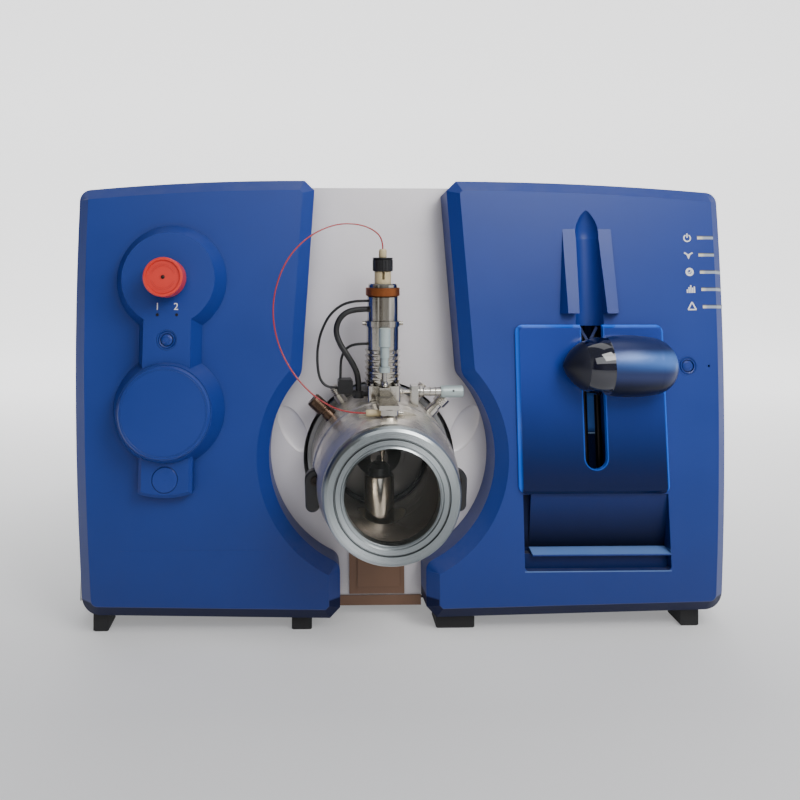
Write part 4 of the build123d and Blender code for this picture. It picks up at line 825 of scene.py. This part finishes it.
bezel = {"outer": 10.6, "inner": 7.6}
leftPanelX, leftKeyZ = -280.0, 344.0
rightKeyX, rightKeyZ = 344.6, 312.0
for name, x, z, out in (("bezelLeft", leftPanelX, leftKeyZ, 23.0),
                        ("bezelRight", rightKeyX, rightKeyZ, -3.0)):
    profile = [(bezel["inner"], 0), (bezel["inner"], 3.0), (bezel["inner"] + 1.2, 3.4),
               (bezel["inner"] + 2.0, 2.2), (bezel["outer"] - 1.0, 2.2), (bezel["outer"], 3.2),
               (bezel["outer"] + 1.2, 3.2), (bezel["outer"] + 1.35, 0)]
    turned(name, profile, frontMatrix(x, z, out), "cabinet", "podBlue", "blue_moulding")
dimple = {"radius": 3.6, "thick": 0.35, "sunk": 0.1}
for name, body, x, z, out in (("dimpleLeft", "valve_key", leftPanelX, leftKeyZ, 28.0),
                              ("dimpleRight", "pump_key", rightKeyX, rightKeyZ, 1.0)):
    ringPiece(name, dimple["radius"], dimple["thick"], frontMatrix(x, z, out - dimple["sunk"]), body,
              "podBlue", "blue_moulding", 40)
ringPiece("roundCoverLine", 49.0, 0.5, frontMatrix(leftPanelX, 262.0, 38.0), "cabinet", "podBlue",
          "blue_moulding", 96)
capFace = frontMatrix(leftPanelX, 415.0, 61.0)
plates("capMarks", band(13.5, 1.0, 20, 160) + band(13.5, 1.0, 200, 340), 0, 0.6, capFace, "cap", "capRed")
turned("capPin", [(0, 0), (2.2, 0), (2.2, 0.5), (1.6, 0.9), (0, 0.9)], capFace, "cap", "darkMetal",
       "dark_metal", 24)
plates("namePlate", [plateOutline(88, -13, 13)], -0.05, 0.15, frontMatrix(-246.0, 88.5),
       "cabinet", "coverBlue")
slotPlace = frontMatrix(226.5, 285.0)
# Back of the slot cavity, carrying a painted reflection
plates("slotBack", [plateOutline(26.4, -100.5, 75.0)], -51.9, -51.3, slotPlace, "cabinet", "slotPanel")
plates("slotStruts", [bar(-10.5, 74.0, -2.0, 58.5, 3.2), bar(10.5, 74.0, 2.0, 58.5, 3.2)], -8.0, -6.0,
       slotPlace, "cabinet", "handleGrip")
plates("lowerLip", [plateOutline(50.5, -6, 6)], -60.4, -58.5, frontMatrix(sourceX, 26.0),
       "cabinet", "platePlain")
print("stage: covers")

# Dark strip of painted shade standing in for the inside of the drain slot
plates("drainSlotShade", [[(-33, -27), (-31.4, -27), (-31.4, 22), (-33, 22)]], -0.2, 0.4,
       frontMatrix(sourceX - 3.8, 62.0, -60.0), "cabinet", "framePaint")
# Dark disc of painted shade standing in for the hole where the tube enters
plates("tubeHoleShade", [arc(1.6, 0, 345, 23)], -0.5, 0.08, aheadMatrix(sourceX + 1.5, towerY - 17.98, 388.5),
       "tower", "framePaint")
ringPiece("chamberSeal", 60.6, 0.9, aheadMatrix(sourceX, fasciaY - 5.0, sourceZ), "source", "blackPlastic",
          "foot_rubber", 96)
for index, (x, y) in enumerate(((-14, -17), (14, -17), (-14, 15), (14, 15))):
    screwHead("baseScrew%d" % index, uprightMatrix(sourceX + x, towerY + y, 291.5), "stage", 2.6, 2.6)
turned("pivotBall", [(3.2 * math.cos(math.radians(a)), 3.2 * math.sin(math.radians(a)))
                     for a in range(-90, 91, 15)],
       uprightMatrix(sourceX, towerY - 31.0, 294.5), "stage", "plainSteel", "polished_steel", 32)
frontLines = {"radius": 6.95, "thick": 0.22, "ahead": 27.0, "heights": (342.0, 344.4, 349.6, 352.0, 357.6)}
for index, z in enumerate(frontLines["heights"]):
    ringPiece("thimbleLine%d" % index, frontLines["radius"], frontLines["thick"],
              uprightMatrix(sourceX, towerY - frontLines["ahead"], z), "front_thimble", "thimbleGrey",
              "thimble_paint", 48)
sideTurn = Matrix.Rotation(math.radians(90), 4, "Y")
for index, x in enumerate((46.5, 65.0, 67.0, 69.0)):
    ringPiece("sideLine%d" % index, 7.0, 0.25, uprightMatrix(x, towerY, sideZ) @ sideTurn, "side_thimble",
              "thimbleGrey", "thimble_paint", 48)
for index, x in enumerate((18.5, 23.0, 31.0, 37.5)):
    ringPiece("sleeveLine%d" % index, 5.3 if x > 22 else 6.3, 0.5, uprightMatrix(x, towerY, sideZ) @ sideTurn,
              "source", "sideSteel", "polished_steel", 48)
# Dark disc of painted shade standing in for the hole in the side thimble
turned("sideHoleShade", [(0, -0.3), (1.3, -0.3), (1.3, 0.15), (0, 0.15)],
       aheadMatrix(58.5, towerY - 7.1, sideZ + 2.0), "side_thimble", "framePaint", "frame_steel", 20)
for side, body in ((-1, "latch_left"), (1, "latch_right")):
    screwHead("latchScrew" + ("Left" if side < 0 else "Right"),
              aheadMatrix(sourceX + side * 81, fasciaY - 103.3, 189.0), body, 5.6, 2.0, "darkMetal",
              "dark_metal")


# Place along a connector that stands on the source at an angle from the vertical
def onPort(angle, ahead, along):
    turn = Matrix.Rotation(math.radians(angle), 4, "Y")
    return uprightMatrix(sourceX, fasciaY - ahead, sourceZ) @ turn @ Matrix.Translation((0, 0, along * mm))


leftPort, rightPort, portAhead = -47.0, 44.0, 36.0
for index in range(5):
    ringPiece("leftThread%d" % index, 9.0, 0.55, onPort(leftPort, portAhead, 99 + index * 2.6), "source",
              "portBrown", "dark_metal", 40)
for index in range(3):
    ringPiece("rightThread%d" % index, 8.4, 0.45, onPort(rightPort, portAhead, 103 + index * 2.8), "source",
              "plainSteel", "polished_steel", 40)
turned("rightPin", [(0, 0), (1.2, 0), (1.2, 4), (0, 4.6)], onPort(rightPort, portAhead, 110.0), "source",
       "bronze", "bronze", 16)
for name, angle in (("smallGasketLeft", -33.0), ("smallGasketRight", 30.0)):
    for index in range(4):
        ringPiece("%s%d" % (name, index), 5.2, 0.5, onPort(angle, 18.0, 97.5 + index * 2.4), "source",
                  "plainSteel", "polished_steel", 36)
print("stage: source")

cabinetScrews = {"radius": 3.4, "rearHeight": 1.8, "sideHeight": 1.2, "rows": (40, 270, 500),
                 "columns": (-380, -190, 0, 190, 380), "sideX": 395.0,
                 "sidePlaces": ((-230, 60), (-210, 470), (90, 60), (90, 480), (380, 60), (380, 480))}
for index, (x, z) in enumerate([(x, z) for z in cabinetScrews["rows"] for x in cabinetScrews["columns"]]):
    place = uprightMatrix(x, rearY, z) @ Matrix.Rotation(math.radians(-90), 4, "X")
    screwHead("rearScrew%d" % index, place, "cabinet", cabinetScrews["radius"], cabinetScrews["rearHeight"])
for side in (-1, 1):
    for index, (y, z) in enumerate(cabinetScrews["sidePlaces"]):
        outwards = Matrix.Rotation(math.radians(side * 90), 4, "Y")
        place = uprightMatrix(side * cabinetScrews["sideX"], y, z) @ outwards
        screwHead("sideScrew%s%d" % ("Left" if side < 0 else "Right", index), place, "cabinet",
                  cabinetScrews["radius"], cabinetScrews["sideHeight"])
print("stage: rear")

floorSet = {"tone": (0.74, 0.74, 0.75, 1.0), "glowNear": 0.10, "glowFar": 1.5, "glowFrom": -0.5,
            "glowTo": 1.2, "front": -2.6, "halfWidth": 6.0, "back": 3.0, "rise": 5.0, "curve": 1.2}
floorShade = bpy.data.materials.new("floorShade")
floorShade.use_nodes = True
floorTree = floorShade.node_tree
floorShader = floorTree.nodes["Principled BSDF"]
floorShader.inputs["Base Color"].default_value = floorSet["tone"]
floorShader.inputs["Roughness"].default_value = 0.8
floorShader.inputs["Specular IOR Level"].default_value = 0.1
floorShader.inputs["Emission Color"].default_value = (1.0, 1.0, 1.0, 1.0)
floorDepth = floorTree.nodes.new("ShaderNodeSeparateXYZ")
floorTree.links.new(floorTree.nodes.new("ShaderNodeTexCoord").outputs["Object"], floorDepth.inputs[0])
floorGlow = floorTree.nodes.new("ShaderNodeMapRange")
for index, label in enumerate(("glowFrom", "glowTo", "glowNear", "glowFar")):
    floorGlow.inputs[index + 1].default_value = floorSet[label]
floorTree.links.new(floorDepth.outputs[1], floorGlow.inputs[0])
floorTree.links.new(floorGlow.outputs[0], floorShader.inputs["Emission Strength"])
floorMesh = bpy.data.meshes.new("floor")
curve = floorSet["curve"]
curveStart = floorSet["back"] - curve
rows = [(floorSet["front"], 0.0), (curveStart, 0.0)]
for angle in range(9, 91, 9):
    rows.append((curveStart + curve * math.sin(math.radians(angle)),
                 curve - curve * math.cos(math.radians(angle))))
rows.append((floorSet["back"], floorSet["rise"]))
floorVerts = [(x, y, z) for y, z in rows for x in (-floorSet["halfWidth"], floorSet["halfWidth"])]
floorMesh.from_pydata(floorVerts, [], [(2 * k, 2 * k + 1, 2 * k + 3, 2 * k + 2)
                                       for k in range(len(rows) - 1)])
for face in floorMesh.polygons:
    face.use_smooth = True
floor = bpy.data.objects.new("floor", floorMesh)
bpy.context.scene.collection.objects.link(floor)
floor.data.materials.append(floorShade)

lights = {
    "keyLight": {"place": (0.5, -1.15, 1.1), "size": (0.6, 0.6), "power": 10.0, "colour": (1.0, 0.99, 0.97)},
    "frontLight": {"place": (0.35, -2.5, 1.6), "size": (2.4, 1.2), "power": 24.0,
                   "colour": (0.98, 0.99, 1.0)},
    "topLight": {"place": (0.3, -0.1, 2.0), "size": (1.4, 0.8), "power": 5.0, "colour": (1.0, 1.0, 1.0)},
    "backLight": {"place": (0.0, 2.2, 2.0), "size": (3.0, 1.5), "power": 25.0, "colour": (1.0, 1.0, 1.0)},
}
aim = Vector((0.05, -0.3, 0.35))
for name, look in lights.items():
    data = bpy.data.lights.new(name, "AREA")
    data.shape = "RECTANGLE"
    data.size, data.size_y = look["size"]
    data.energy = look["power"]
    data.color = look["colour"]
    lamp = bpy.data.objects.new(name, data)
    bpy.context.scene.collection.objects.link(lamp)
    lamp.location = look["place"]
    lamp.rotation_euler = (aim - lamp.location).to_track_quat("-Z", "Y").to_euler()

roomSet = {"strength": 0.62, "ceiling": (0.42, 0.43, 0.45, 1.0),
           "ceilingFrom": 0.35, "ceilingTo": 0.75}
world = bpy.data.worlds.new("studio")
bpy.context.scene.world = world
world.use_nodes = True
worldTree = world.node_tree
direction = worldTree.nodes.new("ShaderNodeTexCoord")
# Shares of a full turn from the left (front at 0.25, right at 0.5): a dark room with two bright windows
roomSteps = ((0.0, (0.05, 0.04, 0.03)), (0.128, (0.09, 0.075, 0.055)), (0.14, (0.90, 0.90, 0.88)),
             (0.155, (0.90, 0.90, 0.88)), (0.17, (0.12, 0.10, 0.085)), (0.22, (0.26, 0.24, 0.22)),
             (0.25, (0.50, 0.49, 0.47)), (0.36, (0.42, 0.41, 0.40)), (0.385, (1.7, 1.72, 1.75)),
             (0.50, (1.7, 1.72, 1.75)), (0.55, (0.20, 0.19, 0.18)), (1.0, (0.12, 0.11, 0.10)))
turn = worldTree.nodes.new("ShaderNodeTexGradient")
turn.gradient_type = "RADIAL"
worldTree.links.new(direction.outputs["Generated"], turn.inputs[0])
room = worldTree.nodes.new("ShaderNodeValToRGB")
while len(room.color_ramp.elements) < len(roomSteps):
    room.color_ramp.elements.new(0.5)
for element, (position, colour) in zip(room.color_ramp.elements, roomSteps):
    element.position = position
    element.color = (*colour, 1.0)
worldTree.links.new(turn.outputs[1], room.inputs[0])
split = worldTree.nodes.new("ShaderNodeSeparateXYZ")
worldTree.links.new(direction.outputs["Generated"], split.inputs[0])
sky = worldTree.nodes.new("ShaderNodeMapRange")
worldTree.links.new(split.outputs[2], sky.inputs[0])
sky.inputs[1].default_value = roomSet["ceilingFrom"]
sky.inputs[2].default_value = roomSet["ceilingTo"]
ceiling = worldTree.nodes.new("ShaderNodeMix")
ceiling.data_type = "RGBA"
worldTree.links.new(sky.outputs[0], ceiling.inputs[0])
worldTree.links.new(room.outputs[0], ceiling.inputs[6])
ceiling.inputs[7].default_value = roomSet["ceiling"]
background = worldTree.nodes["Background"]
worldTree.links.new(ceiling.outputs[2], background.inputs[0])
background.inputs[1].default_value = roomSet["strength"]
print("stage: light")
